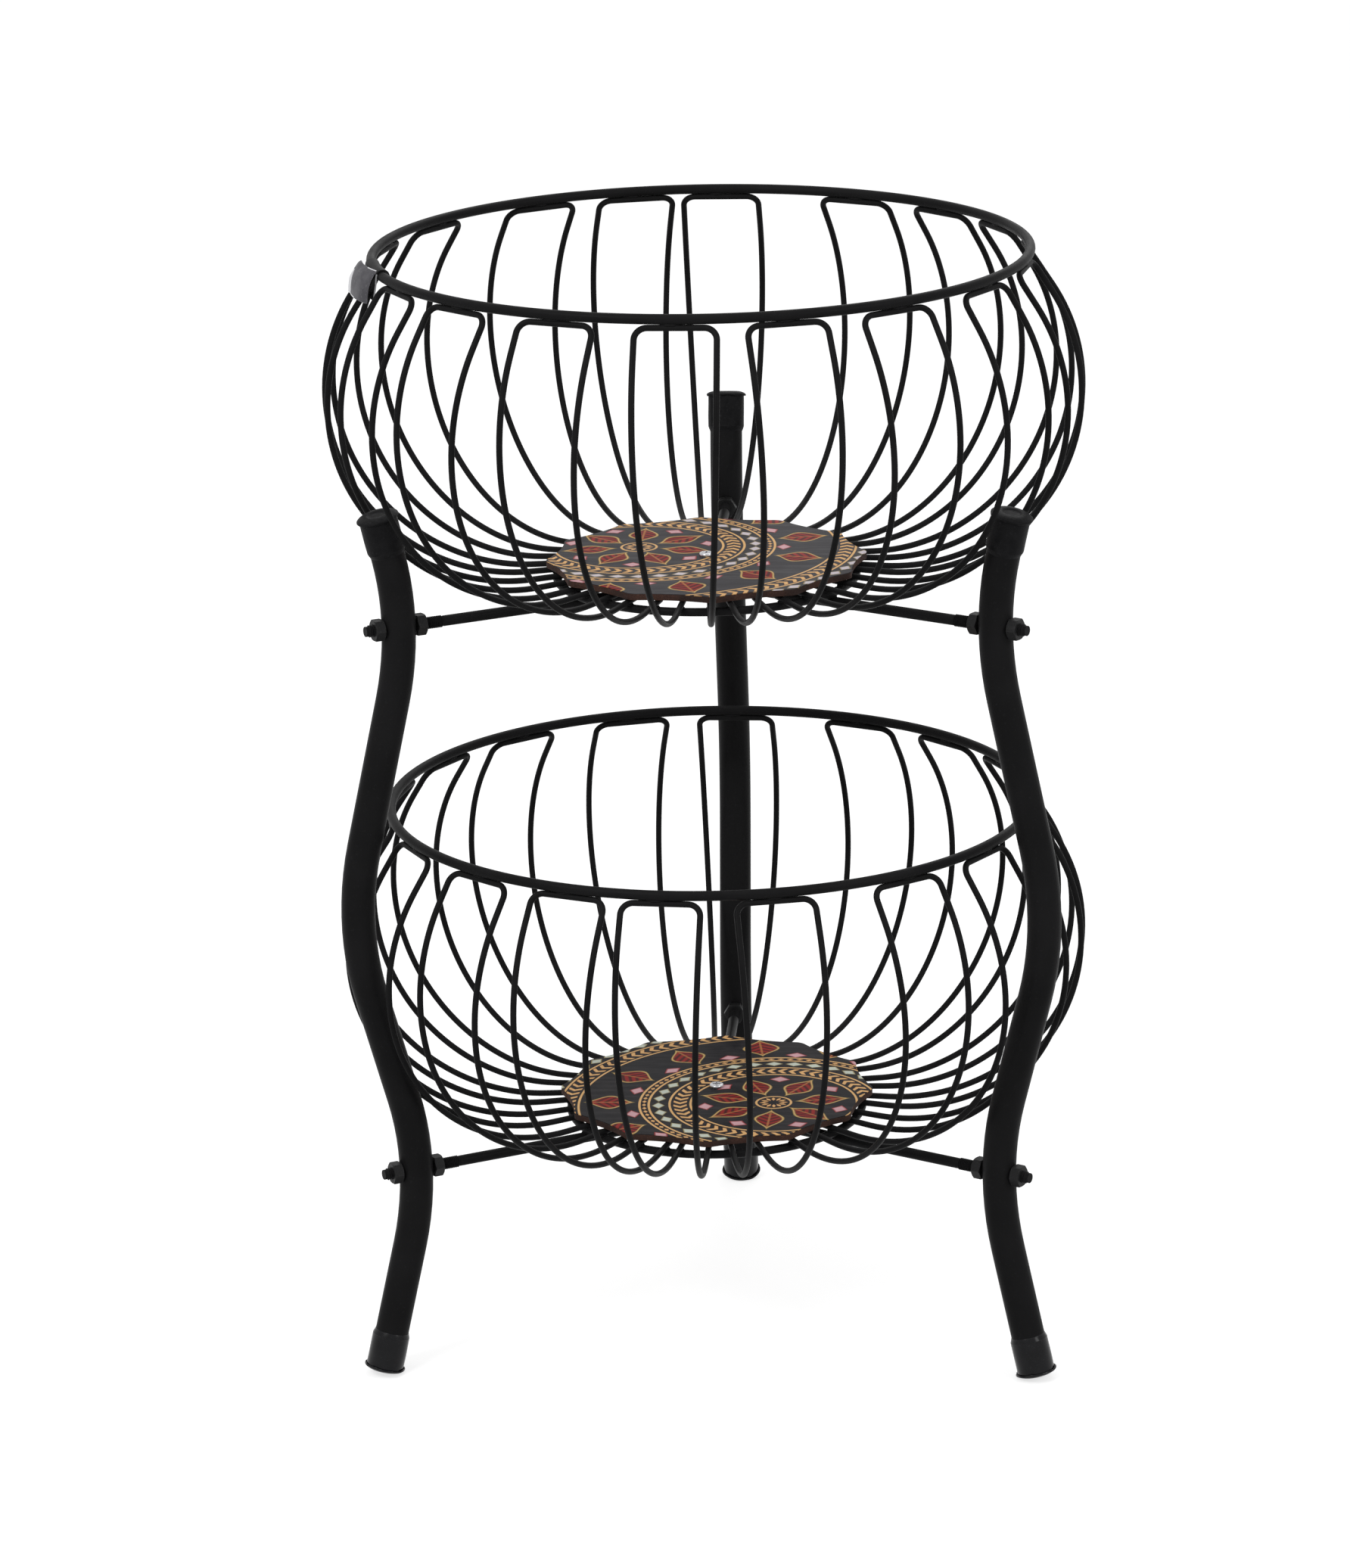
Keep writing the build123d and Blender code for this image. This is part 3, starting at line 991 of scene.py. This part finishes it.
def banded_faces(bands: int, sides: int) -> list[tuple[int, ...]]:
    """Faces between rings of points that follow each other.

    Args:
        bands: How many bands of faces, one fewer than the rings.
        sides: Points in a ring.

    Returns:
        The indices of each face's points.
    """
    faces = []
    for band in range(bands):
        low, high = band * sides, (band + 1) * sides
        for side in range(sides):
            after = (side + 1) % sides
            faces.append((low + side, low + after, high + after, high + side))
    return faces


def waves(angle: float, seed: float, terms: Iterable[tuple[float, int, float]]) -> float:
    """Adds up sines round a circle.

    Args:
        angle: The place on the circle.
        seed: Tells one piece from the next.
        terms: Each sine's strength, its count round the circle and its phase for a seed of 1.

    Returns:
        The sum.
    """
    return sum(strength * math.sin(count * angle + phase * seed) for strength, count, phase in terms)


def outward(angle: float) -> Vector:
    """The level direction at an angle in radians from +X."""
    return Vector((math.cos(angle), math.sin(angle), 0))


def kept_to_unit(value: float) -> float:
    """The value, or the nearer of 0 and 1 where it lies outside them."""
    return min(1.0, max(0.0, value))


def smooth_path(points: Section, per_span: int) -> Section:
    """Runs a Catmull-Rom curve through points.

    Args:
        points: The points, in order.
        per_span: Steps between two of them.

    Returns:
        The points of the curve.
    """
    padded = [points[0], *points, points[-1]]
    path = []
    for before, start, end, after in zip(padded, padded[1:], padded[2:], padded[3:]):
        for step in range(per_span):
            t = step / per_span
            path.append(tuple(
                0.5 * (2 * b + (c - a) * t + (2 * a - 5 * b + 4 * c - d) * t * t
                       + (3 * b - a - 3 * c + d) * t ** 3)
                for a, b, c, d in zip(before, start, end, after)
            ))
    path.append(points[-1])
    return path


@dataclass
class Ferrule:
    """One moulded rubber ferrule on the end of a leg tube."""

    leg: Leg
    end: FerruleEnd
    rods: dict[Tier, float]
    tube_radius: float = 0.011
    wall: float = 0.0013
    sleeve: float = 0.0245
    closed_end: float = 0.003
    dish: float = 0.0009
    dish_radius: float = 0.0030
    fit: float = 0.00004
    belly: float = 0.00006
    belly_share: float = 0.45
    shoulder: float = 0.0033
    shoulder_power: float = 1.13
    shoulder_thinning: float = 0.95
    shoulder_shares: tuple[float, ...] = (0.0, 0.12, 0.25, 0.4, 0.55, 0.7, 0.85, 1.0)
    lip: float = 0.0016
    lip_height: float = 0.0022
    lip_turn: float = 0.0009
    lip_spread: float = 0.0016
    lip_wear: float = 0.0003
    lip_waver: float = 0.0005
    skin_waver: float = 0.00005
    even_bore: float = 0.0002
    foot_reach: float = 0.2495
    waist_reach: float = 0.214
    top_reach: float = 0.2325
    top_rise: float = 0.076
    foot_flat: float = 0.0017
    segments: int = 96
    per_span: int = 4

    @property
    def node(self) -> str:
        """The name of the node whose solid this piece stands for."""
        return f"{self.end.value}_ferrules"

    @property
    def crest(self) -> float:
        """Height of the top of the turned-up lip, from the tube's end."""
        return -self.closed_end + self.lip_height + self.lip_turn

    def axis(self) -> tuple[Vector, Vector]:
        """The tube's end and the direction into the tube, for a leg along +X.

        Returns:
            The point where the tube's end meets the ferrule's floor, and the direction.
        """
        if self.end is FerruleEnd.FOOT:
            outer = Vector((self.foot_reach, 0, 0))
            inner = Vector((self.waist_reach, 0, self.rods[Tier.LOWER]))
            into = (inner - outer).normalized()
            tilt = math.acos(into.z)
            flange = self.tube_radius + self.wall + self.lip
            lift = (flange * math.sin(tilt) - self.foot_flat) / math.cos(tilt)
            return outer + into * (lift + self.closed_end), into
        rod = self.rods[Tier.UPPER]
        outer = Vector((self.top_reach, 0, rod + self.top_rise))
        inner = Vector((self.waist_reach, 0, rod))
        into = (inner - outer).normalized()
        return outer + into * self.closed_end, into

    def profile(self) -> Section:
        """Radius and height from the middle of the closed end to the mouth and inside it.

        Returns:
            The points of half a section.
        """
        bore, skin = self.tube_radius + self.fit, self.tube_radius + self.wall
        flange = skin + self.lip
        low, crest = -self.closed_end, self.crest
        face = [(0.0, low + self.dish), (self.dish_radius, low + self.dish)]
        # Edge of the dish, a rounded rim, then a thin lip that turns up round a groove
        rim = smooth_path(
            [
                (0.0052, low + 0.0008), (0.0062, low + 0.0003), (0.0072, low),
                (0.0092, low + 0.0001), (skin - 0.0012, low + 0.0006), (skin + 0.0003, low + 0.0013),
                (flange - 0.0003, low + 0.0020), (flange, crest - 0.0006), (flange - 0.0002, crest),
                (flange - 0.0006, crest + 0.0001), (flange - 0.0009, crest - 0.0005),
                (skin + 0.0002, crest - 0.0009), (skin, crest - 0.0003),
            ],
            self.per_span,
        )
        # The wall thins in a long soft shoulder that catches the lamps
        slope = [
            (skin - self.shoulder_thinning * self.wall * share ** self.shoulder_power,
             self.sleeve - self.shoulder * (1 - share))
            for share in self.shoulder_shares
        ]
        body = smooth_path(
            [
                (skin, crest + 0.0012), (skin + self.belly, self.sleeve * self.belly_share),
                (skin, self.sleeve - 1.3 * self.shoulder), *slope, (bore, self.sleeve - 0.0002),
            ],
            self.per_span,
        )
        inside = [(bore, self.sleeve - 0.001), (bore, 0.0), (0.0, 0.0)]
        return face + rim + body + inside

    def ripple(self, angle: float, radius: float, height: float) -> tuple[float, float]:
        """How far the moulded rubber strays from its true round, most of all at the lip.

        Args:
            angle: Direction round the ferrule.
            radius: Distance from its axis.
            height: Place along it, from the tube's end.

        Returns:
            The change of radius, and the change along the axis.
        """
        seed = self.leg.value * 0.37 + (2.1 if self.end is FerruleEnd.TOP else 0.0)
        nearness = math.exp(-((height - self.crest) / self.lip_spread) ** 2)
        on_lip = nearness * max(0.0, (radius - self.tube_radius - self.wall) / self.lip)
        fine = waves(angle, seed, FINE_WAVES)
        worn = waves(angle, seed, WORN_WAVES) + fine - 1.0
        rise = waves(angle, seed, RISE_WAVES) + fine
        soft = self.skin_waver * math.sin(3 * angle + seed + height * 260)
        return worn * self.lip_wear * on_lip + soft, rise * self.lip_waver * on_lip

    def build(self, finishes: Finishes) -> None:
        """Lathes the ferrule and puts it on its leg.

        Args:
            finishes: The materials.
        """
        start, into = self.axis()
        side = Vector((0, 1, 0))
        across = into.cross(side)
        turn = Matrix.Rotation(math.radians(self.leg.value), 3, "Z")
        vertices = []
        profile = self.profile()
        for radius, height in profile:
            for step in range(self.segments):
                angle = FULL_TURN * step / self.segments
                out, along = radius, height
                if radius > self.tube_radius + self.even_bore:
                    widening, lengthening = self.ripple(angle, radius, height)
                    out, along = radius + widening, height + lengthening
                spoke = side * math.cos(angle) + across * math.sin(angle)
                point = start + into * along + spoke * out
                point.z = max(point.z, 0.0)
                vertices.append(turn @ point)
        form = vertices, banded_faces(len(profile) - 1, self.segments)
        rubber = finishes.rubber if self.end is FerruleEnd.FOOT else finishes.cap_rubber
        name = f"rubber_{self.end.value}_ferrule_{self.leg.label}"
        piece = make_piece(name, mesh_from(form), rubber)
        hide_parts(self.node)


class TagSide(Enum):
    """Stretches of the tag, each with the finishes of its face, its back and its edge; some carry
    painted highlight or painted shade.
    """

    # The plate's edge is a painted highlight on the face's left half and painted shade, black, on its
    # right half
    BRIGHT_EDGE = ("plate", "paint", "plate_edge")
    DARK_EDGE = ("plate", "paint", "paint")
    # The clip's edge carries a light grey painted highlight along its upper right
    CLIP_BRIGHT_EDGE = ("paint", "paint", "clip_edge")
    CLIP = ("paint", "paint", "paint")
    # Strips of the face are painted near-white as a painted highlight
    BRIGHT_STRIP = ("plate_edge", "paint", "plate_edge")

    @property
    def first_slot(self) -> int:
        """The material slot of the stretch's face, before those of its back and its edge."""
        return len(self.value) * list(TagSide).index(self)


PlacePoint = Callable[[tuple[float, float], float], Vector]
ChooseSide = Callable[[int, int, int], TagSide]


@dataclass
class TagPlate:
    """A bowed plate held by a clip over the upper ring, its face outward and bare."""

    ring_radius: float
    ring_height: float
    wire_radius: float
    azimuth: float = 196.0
    askew: float = 6.5
    stand_off: float = 0.0016
    width: float = 0.040
    thickness: float = 0.0010
    gap: float = 0.0003
    drop: float = 0.0170
    reach: float = 0.0066
    top_lift: float = 0.0014
    foot_flare: float = 0.0004
    clip_drop: float = 0.0148
    clip_lean: float = 0.0024
    clip_shift: float = 0.0013
    inner_drop: float = 0.004
    inner_slack: float = 0.0005
    barrel: float = 0.0026
    curl: float = 0.0017
    curl_start: float = 0.9
    curl_depth_share: float = 0.4
    corner: float = 0.0016
    # Where the strips of painted highlight lie on the face
    side_strip_columns: int = 2
    side_strip_start: float = 0.3
    foot_strip_rows: int = 3
    foot_strip_end: float = 0.45
    top_strip_rows: int = 2
    top_strip_start: float = 0.62
    # How far down the clip's edge its painted highlight runs
    clip_edge_end: float = 0.42
    across_steps: int = 40
    per_span: int = 6

    @property
    def clear(self) -> float:
        """Distance of a sheet's middle from the ring's middle where it lies on the wire."""
        return self.wire_radius + self.gap + self.thickness / 2

    def face_section(self) -> Section:
        """Distance from the ring's middle and height along the face, from its top edge down.

        Returns:
            The points of the middle of the sheet.
        """
        clear, reach, low = self.clear, self.reach, -self.drop
        out = clear + reach
        return smooth_path(
            [
                (clear * 0.72, clear * 0.80), (clear + reach * 0.22, self.top_lift),
                (clear + reach * 0.58, low * 0.15), (clear + reach * 0.84, low * 0.42),
                (out - self.foot_flare / 2, low * 0.72), (out, low * 0.9), (out + self.foot_flare, low),
            ],
            self.per_span,
        )

    def clip_section(self) -> Section:
        """The same along the clip: up behind the face, over the ring and down inside it.

        Returns:
            The points of the middle of the sheet.
        """
        clear, lean, low = self.clear, self.clip_lean, -self.clip_drop
        return smooth_path(
            [
                (clear + lean, low), (clear + lean * 0.62, low * 0.72),
                (clear + lean * 0.22, low * 0.36), (clear, 0.0), (clear * 0.72, clear * 0.72),
                (0.0, clear), (-clear * 0.78, clear * 0.74), (-clear - self.inner_slack, 0.0),
                (-clear - 1.2 * self.inner_slack, -self.inner_drop),
            ],
            self.per_span,
        )

    def point(self, place: tuple[float, float], aside: float) -> Vector:
        """A point of the bowed face, in the stand's frame.

        Args:
            place: Distance from the ring's middle and height.
            aside: Distance along the ring from the tag's middle.

        Returns:
            The point.
        """
        share = 2 * aside / self.width
        # The far end turns outward towards the foot of the face
        curl = kept_to_unit((-share - self.curl_start) / (1.0 - self.curl_start))
        curl *= kept_to_unit(-place[1] / (self.curl_depth_share * self.drop))
        skew = Matrix.Rotation(math.radians(self.askew), 3, "Z")
        bow = self.barrel * (0.5 - share * share)
        out = place[0] + self.stand_off + bow + self.curl * curl
        flat = skew @ Vector((out, aside, 0))
        turn = Matrix.Rotation(math.radians(self.azimuth), 3, "Z")
        return turn @ (flat + Vector((self.ring_radius, 0, self.ring_height + place[1])))

    def hugging(self, place: tuple[float, float], aside: float) -> Vector:
        """A point of the clip, which follows the ring instead of the face.

        Args:
            place: Distance from the ring's middle and height.
            aside: Distance along the ring from the tag's middle.

        Returns:
            The point.
        """
        angle = math.radians(self.azimuth) + (aside + self.clip_shift) / self.ring_radius
        reach = self.ring_radius + place[0]
        return Vector((reach * math.cos(angle), reach * math.sin(angle), self.ring_height + place[1]))

    def sheet(
        self, path: Section, place_point: PlacePoint, choose_side: ChooseSide
    ) -> tuple[Form, list[int]]:
        """Lays out one sheet with rounded corners.

        Args:
            path: Its section.
            place_point: Gives a point from a place on the section and a distance aside.
            choose_side: Gives the stretch from a row, a column and the number of rows.

        Returns:
            Its points and faces, and each face's material slot.
        """
        lengths = [0.0]
        for start, end in zip(path, path[1:]):
            lengths.append(lengths[-1] + math.dist(start, end))
        vertices, faces, slots = [], [], []
        columns, rows = self.across_steps + 1, len(path) - 1
        for place, run in zip(path, lengths):
            edge = min(run, lengths[-1] - run)
            inset = 0.0
            if edge < self.corner:
                inset = self.corner - math.sqrt(self.corner ** 2 - (self.corner - edge) ** 2)
            width = self.width - 2 * inset
            for step in range(columns):
                vertices.append(place_point(place, (step / self.across_steps - 0.5) * width))
        for row in range(rows):
            for step in range(self.across_steps):
                low, high = row * columns + step, (row + 1) * columns + step
                faces.append((low, high, high + 1, low + 1))
                slots.append(choose_side(row, step, rows).first_slot)
        return (vertices, faces), slots

    def face_side(self, row: int, step: int, rows: int) -> TagSide:
        """The face has strips of painted highlight at its left, its lower left and its upper right, and
        its edge is painted lit on the left half and shaded on the right half.

        Args:
            row: The row of the sheet, from the top down.
            step: The column, from the left.
            rows: How many rows there are.

        Returns:
            The stretch that the place belongs to.
        """
        columns = self.across_steps
        left = step < self.side_strip_columns and row > rows * self.side_strip_start
        left_low = row >= rows - self.foot_strip_rows and step < columns * self.foot_strip_end
        right_top = row < self.top_strip_rows and step > columns * self.top_strip_start
        if left or left_low or right_top:
            return TagSide.BRIGHT_STRIP
        # The left half of the face's edge gets a painted highlight, the right half painted shade
        return TagSide.BRIGHT_EDGE if step < columns / 2 else TagSide.DARK_EDGE

    def clip_side(self, row: int, step: int, rows: int) -> TagSide:
        """The clip's edge carries a painted highlight at the right, behind the face."""
        bright = step == self.across_steps - 1 and row < rows * self.clip_edge_end
        return TagSide.CLIP_BRIGHT_EDGE if bright else TagSide.CLIP

    def build(self, finishes: Finishes) -> None:
        """Makes the face and its clip as sheets with thickness.

        Args:
            finishes: The materials.
        """
        face, face_slots = self.sheet(self.face_section(), self.point, self.face_side)
        clip, clip_slots = self.sheet(self.clip_section(), self.hugging, self.clip_side)
        mesh = mesh_from(together([face, clip]), closed=False)
        piece = make_piece("tag_plate", mesh, finishes.plate)
        mesh.materials.clear()
        for side in TagSide:
            for finish in side.value:
                mesh.materials.append(getattr(finishes, finish))
        mesh.polygons.foreach_set("material_index", face_slots + clip_slots)
        solid = piece.modifiers.new("plate thickness", "SOLIDIFY")
        solid.thickness = self.thickness
        solid.offset = 0.0
        solid.material_offset = 1
        solid.material_offset_rim = 2
        rounded = piece.modifiers.new("rounded rim", "BEVEL")
        rounded.width = self.thickness * 0.3
        rounded.segments = 2
        rounded.limit_method = "ANGLE"
        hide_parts("ring_tag")


@dataclass
class Bead:
    """One lump of weld, its size given as half its length, width and height."""

    place: Vector
    along: Vector
    size: tuple[float, float, float]
    seed: float
    rings: int = 14
    sides: int = 14

    def form(self) -> Form:
        """Shapes the lump, upright and a little uneven.

        Returns:
            Its points and faces.
        """
        across = UP.cross(self.along)
        half_length, half_width, half_height = self.size
        points = []
        for ring in range(self.rings + 1):
            polar = math.pi * ring / self.rings
            ripple = 1 + waves(polar, self.seed, BEAD_LENGTH_WAVES)
            for side in range(self.sides):
                angle = FULL_TURN * side / self.sides
                swell = ripple * (1 + waves(angle, self.seed, BEAD_ROUND_WAVES))
                points.append(
                    self.place - self.along * half_length * math.cos(polar)
                    + across * half_width * swell * math.sin(polar) * math.cos(angle)
                    + UP * half_height * swell * math.sin(polar) * math.sin(angle)
                )
        return points, banded_faces(self.rings, self.sides)


@dataclass
class WireBasket:
    """One basket: its rings, hoops, rods and the welds between them."""

    tier: Tier
    crown_depth: float = 1.5 * MM
    foot_half_width: float = 0.0092
    rim_bead: tuple[float, float, float] = (0.0062, 0.0023, 0.0012)
    rim_bead_shift: float = 0.004
    cross_bead: tuple[float, float, float] = (0.0026, 0.0024, 0.0011)

    def node(self, name: str) -> str:
        """The full name of one of this basket's nodes."""
        return f"{self.tier.value}_{name}"

    def ring(self, name: str) -> tuple[float, float, float]:
        """Radius of a ring's wire centre, its height and its wire's radius.

        Args:
            name: The ring's name without the tier.

        Returns:
            The three lengths.
        """
        low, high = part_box(self.node(name))
        wire = (high.z - low.z) / 2
        return (high.x - low.x) / 2 - wire, (low.z + high.z) / 2, wire

    def rod_height(self) -> float:
        """Height of the tie rods' middle."""
        low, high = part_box(self.node("tie_rods"))
        return (low.z + high.z) / 2

    def hoop_azimuths(self) -> list[float]:
        """Directions of the hoops, each read off the middle of its solid.

        Returns:
            The angles in radians.
        """
        found = []
        for name in sorted(n for n in frame["nodes"] if n.startswith(self.node("hoop_"))):
            points = [v.co for v in frame["nodes"][name].data.vertices]
            bar = max(p.z for p in points) - self.crown_depth
            middle = sum((p.xy for p in points if p.z > bar), Vector((0, 0)))
            found.append(math.atan2(middle.y, middle.x))
        return found

    def weld(self, name: str, beads: Iterable[Bead], finishes: Finishes) -> None:
        """Joins the beads of one kind into a piece.

        Args:
            name: The piece's name without the tier.
            beads: The beads.
            finishes: The materials.
        """
        mesh = mesh_from(together(bead.form() for bead in beads))
        make_piece(self.node(name), mesh, finishes.paint)

    def build(self, finishes: Finishes) -> None:
        """Adds the welds under the top ring, on the base ring and on the rods.

        Args:
            finishes: The materials.
        """
        radius, height, wire = self.ring("top_ring")
        base_radius, base_height, base_wire = self.ring("base_ring")
        rim, crossings, seats = [], [], []
        for index, azimuth in enumerate(self.hoop_azimuths()):
            out = outward(azimuth)
            along = UP.cross(out)
            shift = self.rim_bead_shift * math.sin(7.3 * index)
            place = out * radius + along * shift + UP * (height - wire)
            rim.append(Bead(place, along, self.rim_bead, 1.7 * index))
            for side in (-1, 1):
                place = (out * base_radius + along * side * self.foot_half_width
                         + UP * (base_height + base_wire))
                crossings.append(Bead(place, out, self.cross_bead, 0.9 * index + side))
        for leg in Leg:
            azimuth = math.radians(leg.value)
            out = outward(azimuth)
            place = out * base_radius + UP * (base_height - base_wire)
            seats.append(Bead(place, out, self.cross_bead, azimuth))
        self.weld("rim_welds", rim, finishes)
        self.weld("floor_wire_welds", crossings, finishes)
        self.weld("rod_welds", seats, finishes)


def soften_edges(node: bpy.types.Object, width: float) -> None:
    """Rounds a solid's sharp edges for the light to catch.

    Args:
        node: The object of a solid.
        width: The rounding's width.
    """
    merged = node.modifiers.new("joined corners", "WELD")
    merged.merge_threshold = CORNER_MERGE
    rounded = node.modifiers.new("soft edges", "BEVEL")
    rounded.width = width
    rounded.segments = 2
    rounded.limit_method = "ANGLE"
    rounded.angle_limit = SHARP_ANGLE


@dataclass
class Solids:
    """The solids that show as they are, each dressed in its slot's finish."""

    soft_edges: dict[str, float]

    def dress_all(self, finishes: Finishes) -> None:
        """Gives each solid its material and, where its kind is listed, soft edges.

        Args:
            finishes: The materials.
        """
        slots = {s["node"]: s["material_slot"] for s in frame["record"]["subparts"]}
        for name, node in frame["nodes"].items():
            dress(node, finishes.for_slot(slots[name], name))
            for ending, width in self.soft_edges.items():
                if name.endswith(ending):
                    soften_edges(node, width)
        log.info("dressed %d solids", len(slots))


@dataclass
class PhotoCamera:
    """The camera that took the photograph, fitted to it."""

    focal_pixels: float = 7531.1
    image_height: float = 2072.0
    sensor: float = 36.0
    position: tuple[float, float, float] = (0.24439, -3.60600, 1.44986)
    azimuth: float = math.radians(-4.2527)
    pitch: float = math.radians(16.6421)
    roll: float = math.radians(-1.2029)
    clip_end: float = 100.0

    def build(self) -> None:
        """Makes the camera and makes it the scene's."""
        forward = Vector((math.sin(self.azimuth) * math.cos(self.pitch),
                          math.cos(self.azimuth) * math.cos(self.pitch), -math.sin(self.pitch)))
        level = Vector((math.cos(self.azimuth), -math.sin(self.azimuth), 0))
        upright = level.cross(forward)
        right = level * math.cos(self.roll) + upright * math.sin(self.roll)
        above = upright * math.cos(self.roll) - level * math.sin(self.roll)
        data = bpy.data.cameras.new("photo camera")
        data.sensor_fit = "AUTO"
        data.sensor_width = self.sensor
        data.lens = self.focal_pixels * self.sensor / self.image_height
        data.clip_end = self.clip_end
        camera = bpy.data.objects.new("photo camera", data)
        turn = Matrix((right, above, -forward)).transposed().to_4x4()
        camera.matrix_world = Matrix.Translation(self.position) @ turn
        bpy.context.scene.collection.objects.link(camera)
        bpy.context.scene.camera = camera


@dataclass(frozen=True)
class Lamp:
    """A soft square lamp, by its direction from the middle of the object."""

    name: str
    direction: tuple[float, float, float]
    share: float
    size: float = 1.0


@dataclass
class Studio:
    """White floor, even surrounding light and soft lamps."""

    surrounding: float = 0.66
    floor_radius: float = 14.0
    floor_sides: int = 96
    floor_drop: float = 0.0003
    floor_colour: Colour = (0.5, 0.5, 0.5)
    floor_lift: float = 0.69
    middle: tuple[float, float, float] = (0.0, 0.0, 0.37)
    lamp_distance: float = 3.2
    lamps: tuple[Lamp, ...] = (
        Lamp("key lamp", (-1.0, -1.3, 1.5), 0.30),
        Lamp("fill lamp", (1.4, -0.9, 0.9), 0.16),
        Lamp("rear lamp", (0.3, 1.5, 1.2), 0.14, 1.6),
    )

    def seen_directly(self, nodes: Nodes) -> Socket:
        """1 for rays from the camera, off gloss or through glass, else 0.

        Args:
            nodes: The tree's node helper.

        Returns:
            The mask.
        """
        path = nodes.node("ShaderNodeLightPath").outputs
        direct = nodes.math("MAXIMUM", path["Is Camera Ray"], path["Is Glossy Ray"])
        return nodes.math("MAXIMUM", direct, path["Is Transmission Ray"])

    def build_world(self) -> None:
        """Makes the even surrounding light, seen as white."""
        world = bpy.data.worlds.new("white room")
        world.use_nodes = True
        bpy.context.scene.world = world
        nodes = Nodes(world.node_tree)
        background = next(n for n in world.node_tree.nodes if n.type == "BACKGROUND")
        background.inputs["Color"].default_value = WHITE
        seen = self.seen_directly(nodes)
        strength = nodes.math("MULTIPLY_ADD", seen, 1.0 - self.surrounding, self.surrounding)
        nodes.put(background.inputs["Strength"], strength)

    def build_floor(self) -> None:
        """Makes the floor, which renders white and keeps the object's shadow."""
        work = bmesh.new()
        bmesh.ops.create_circle(
            work, cap_ends=True, segments=self.floor_sides, radius=self.floor_radius
        )
        mesh = bpy.data.meshes.new("floor")
        work.to_mesh(mesh)
        work.free()
        floor = bpy.data.objects.new("floor", mesh)
        floor.location.z = -self.floor_drop
        bpy.context.scene.collection.objects.link(floor)
        material, nodes, shader = new_material("white floor")
        shader.inputs["Base Color"].default_value = (*self.floor_colour, 1.0)
        shader.inputs["Roughness"].default_value = 1.0
        shader.inputs["Specular IOR Level"].default_value = 0.0
        shader.inputs["Emission Color"].default_value = WHITE
        lift = nodes.math("MULTIPLY", self.seen_directly(nodes), self.floor_lift)
        nodes.put(shader.inputs["Emission Strength"], lift)
        dress(floor, material)

    def build_lamp(self, lamp: Lamp) -> None:
        """Makes one lamp that faces the object.

        Args:
            lamp: Its direction, its side length and its share, which is what it adds to a
                white surface that faces it.
        """
        data = bpy.data.lights.new(lamp.name, "AREA")
        data.size = lamp.size
        data.energy = lamp.share * math.pi ** 2 * self.lamp_distance ** 2
        light = bpy.data.objects.new(lamp.name, data)
        toward = Vector(lamp.direction).normalized()
        light.location = Vector(self.middle) + toward * self.lamp_distance
        light.rotation_euler = toward.to_track_quat("Z", "Y").to_euler()
        bpy.context.scene.collection.objects.link(light)

    def build(self) -> None:
        """Makes the world, the floor and the lamps, at a plain level."""
        self.build_world()
        self.build_floor()
        for lamp in self.lamps:
            self.build_lamp(lamp)


def main() -> None:
    """Builds the scene, piece by piece."""
    logging.basicConfig(level=logging.INFO, format="%(name)s: %(message)s")
    bpy.context.scene.view_settings.view_transform = "Standard"
    finishes = Finishes()
    Solids(SOFT_EDGES).dress_all(finishes)
    baskets = {tier: WireBasket(tier) for tier in Tier}
    for tier, basket in baskets.items():
        basket.build(finishes)
        log.info("finished the %s basket", tier.value)
    rods = {tier: basket.rod_height() for tier, basket in baskets.items()}
    for leg in Leg:
        for end in FerruleEnd:
            Ferrule(leg, end, rods).build(finishes)
    TagPlate(*baskets[Tier.UPPER].ring("top_ring")).build(finishes)
    Studio().build()
    PhotoCamera().build()


if __name__ == "__main__":
    main()
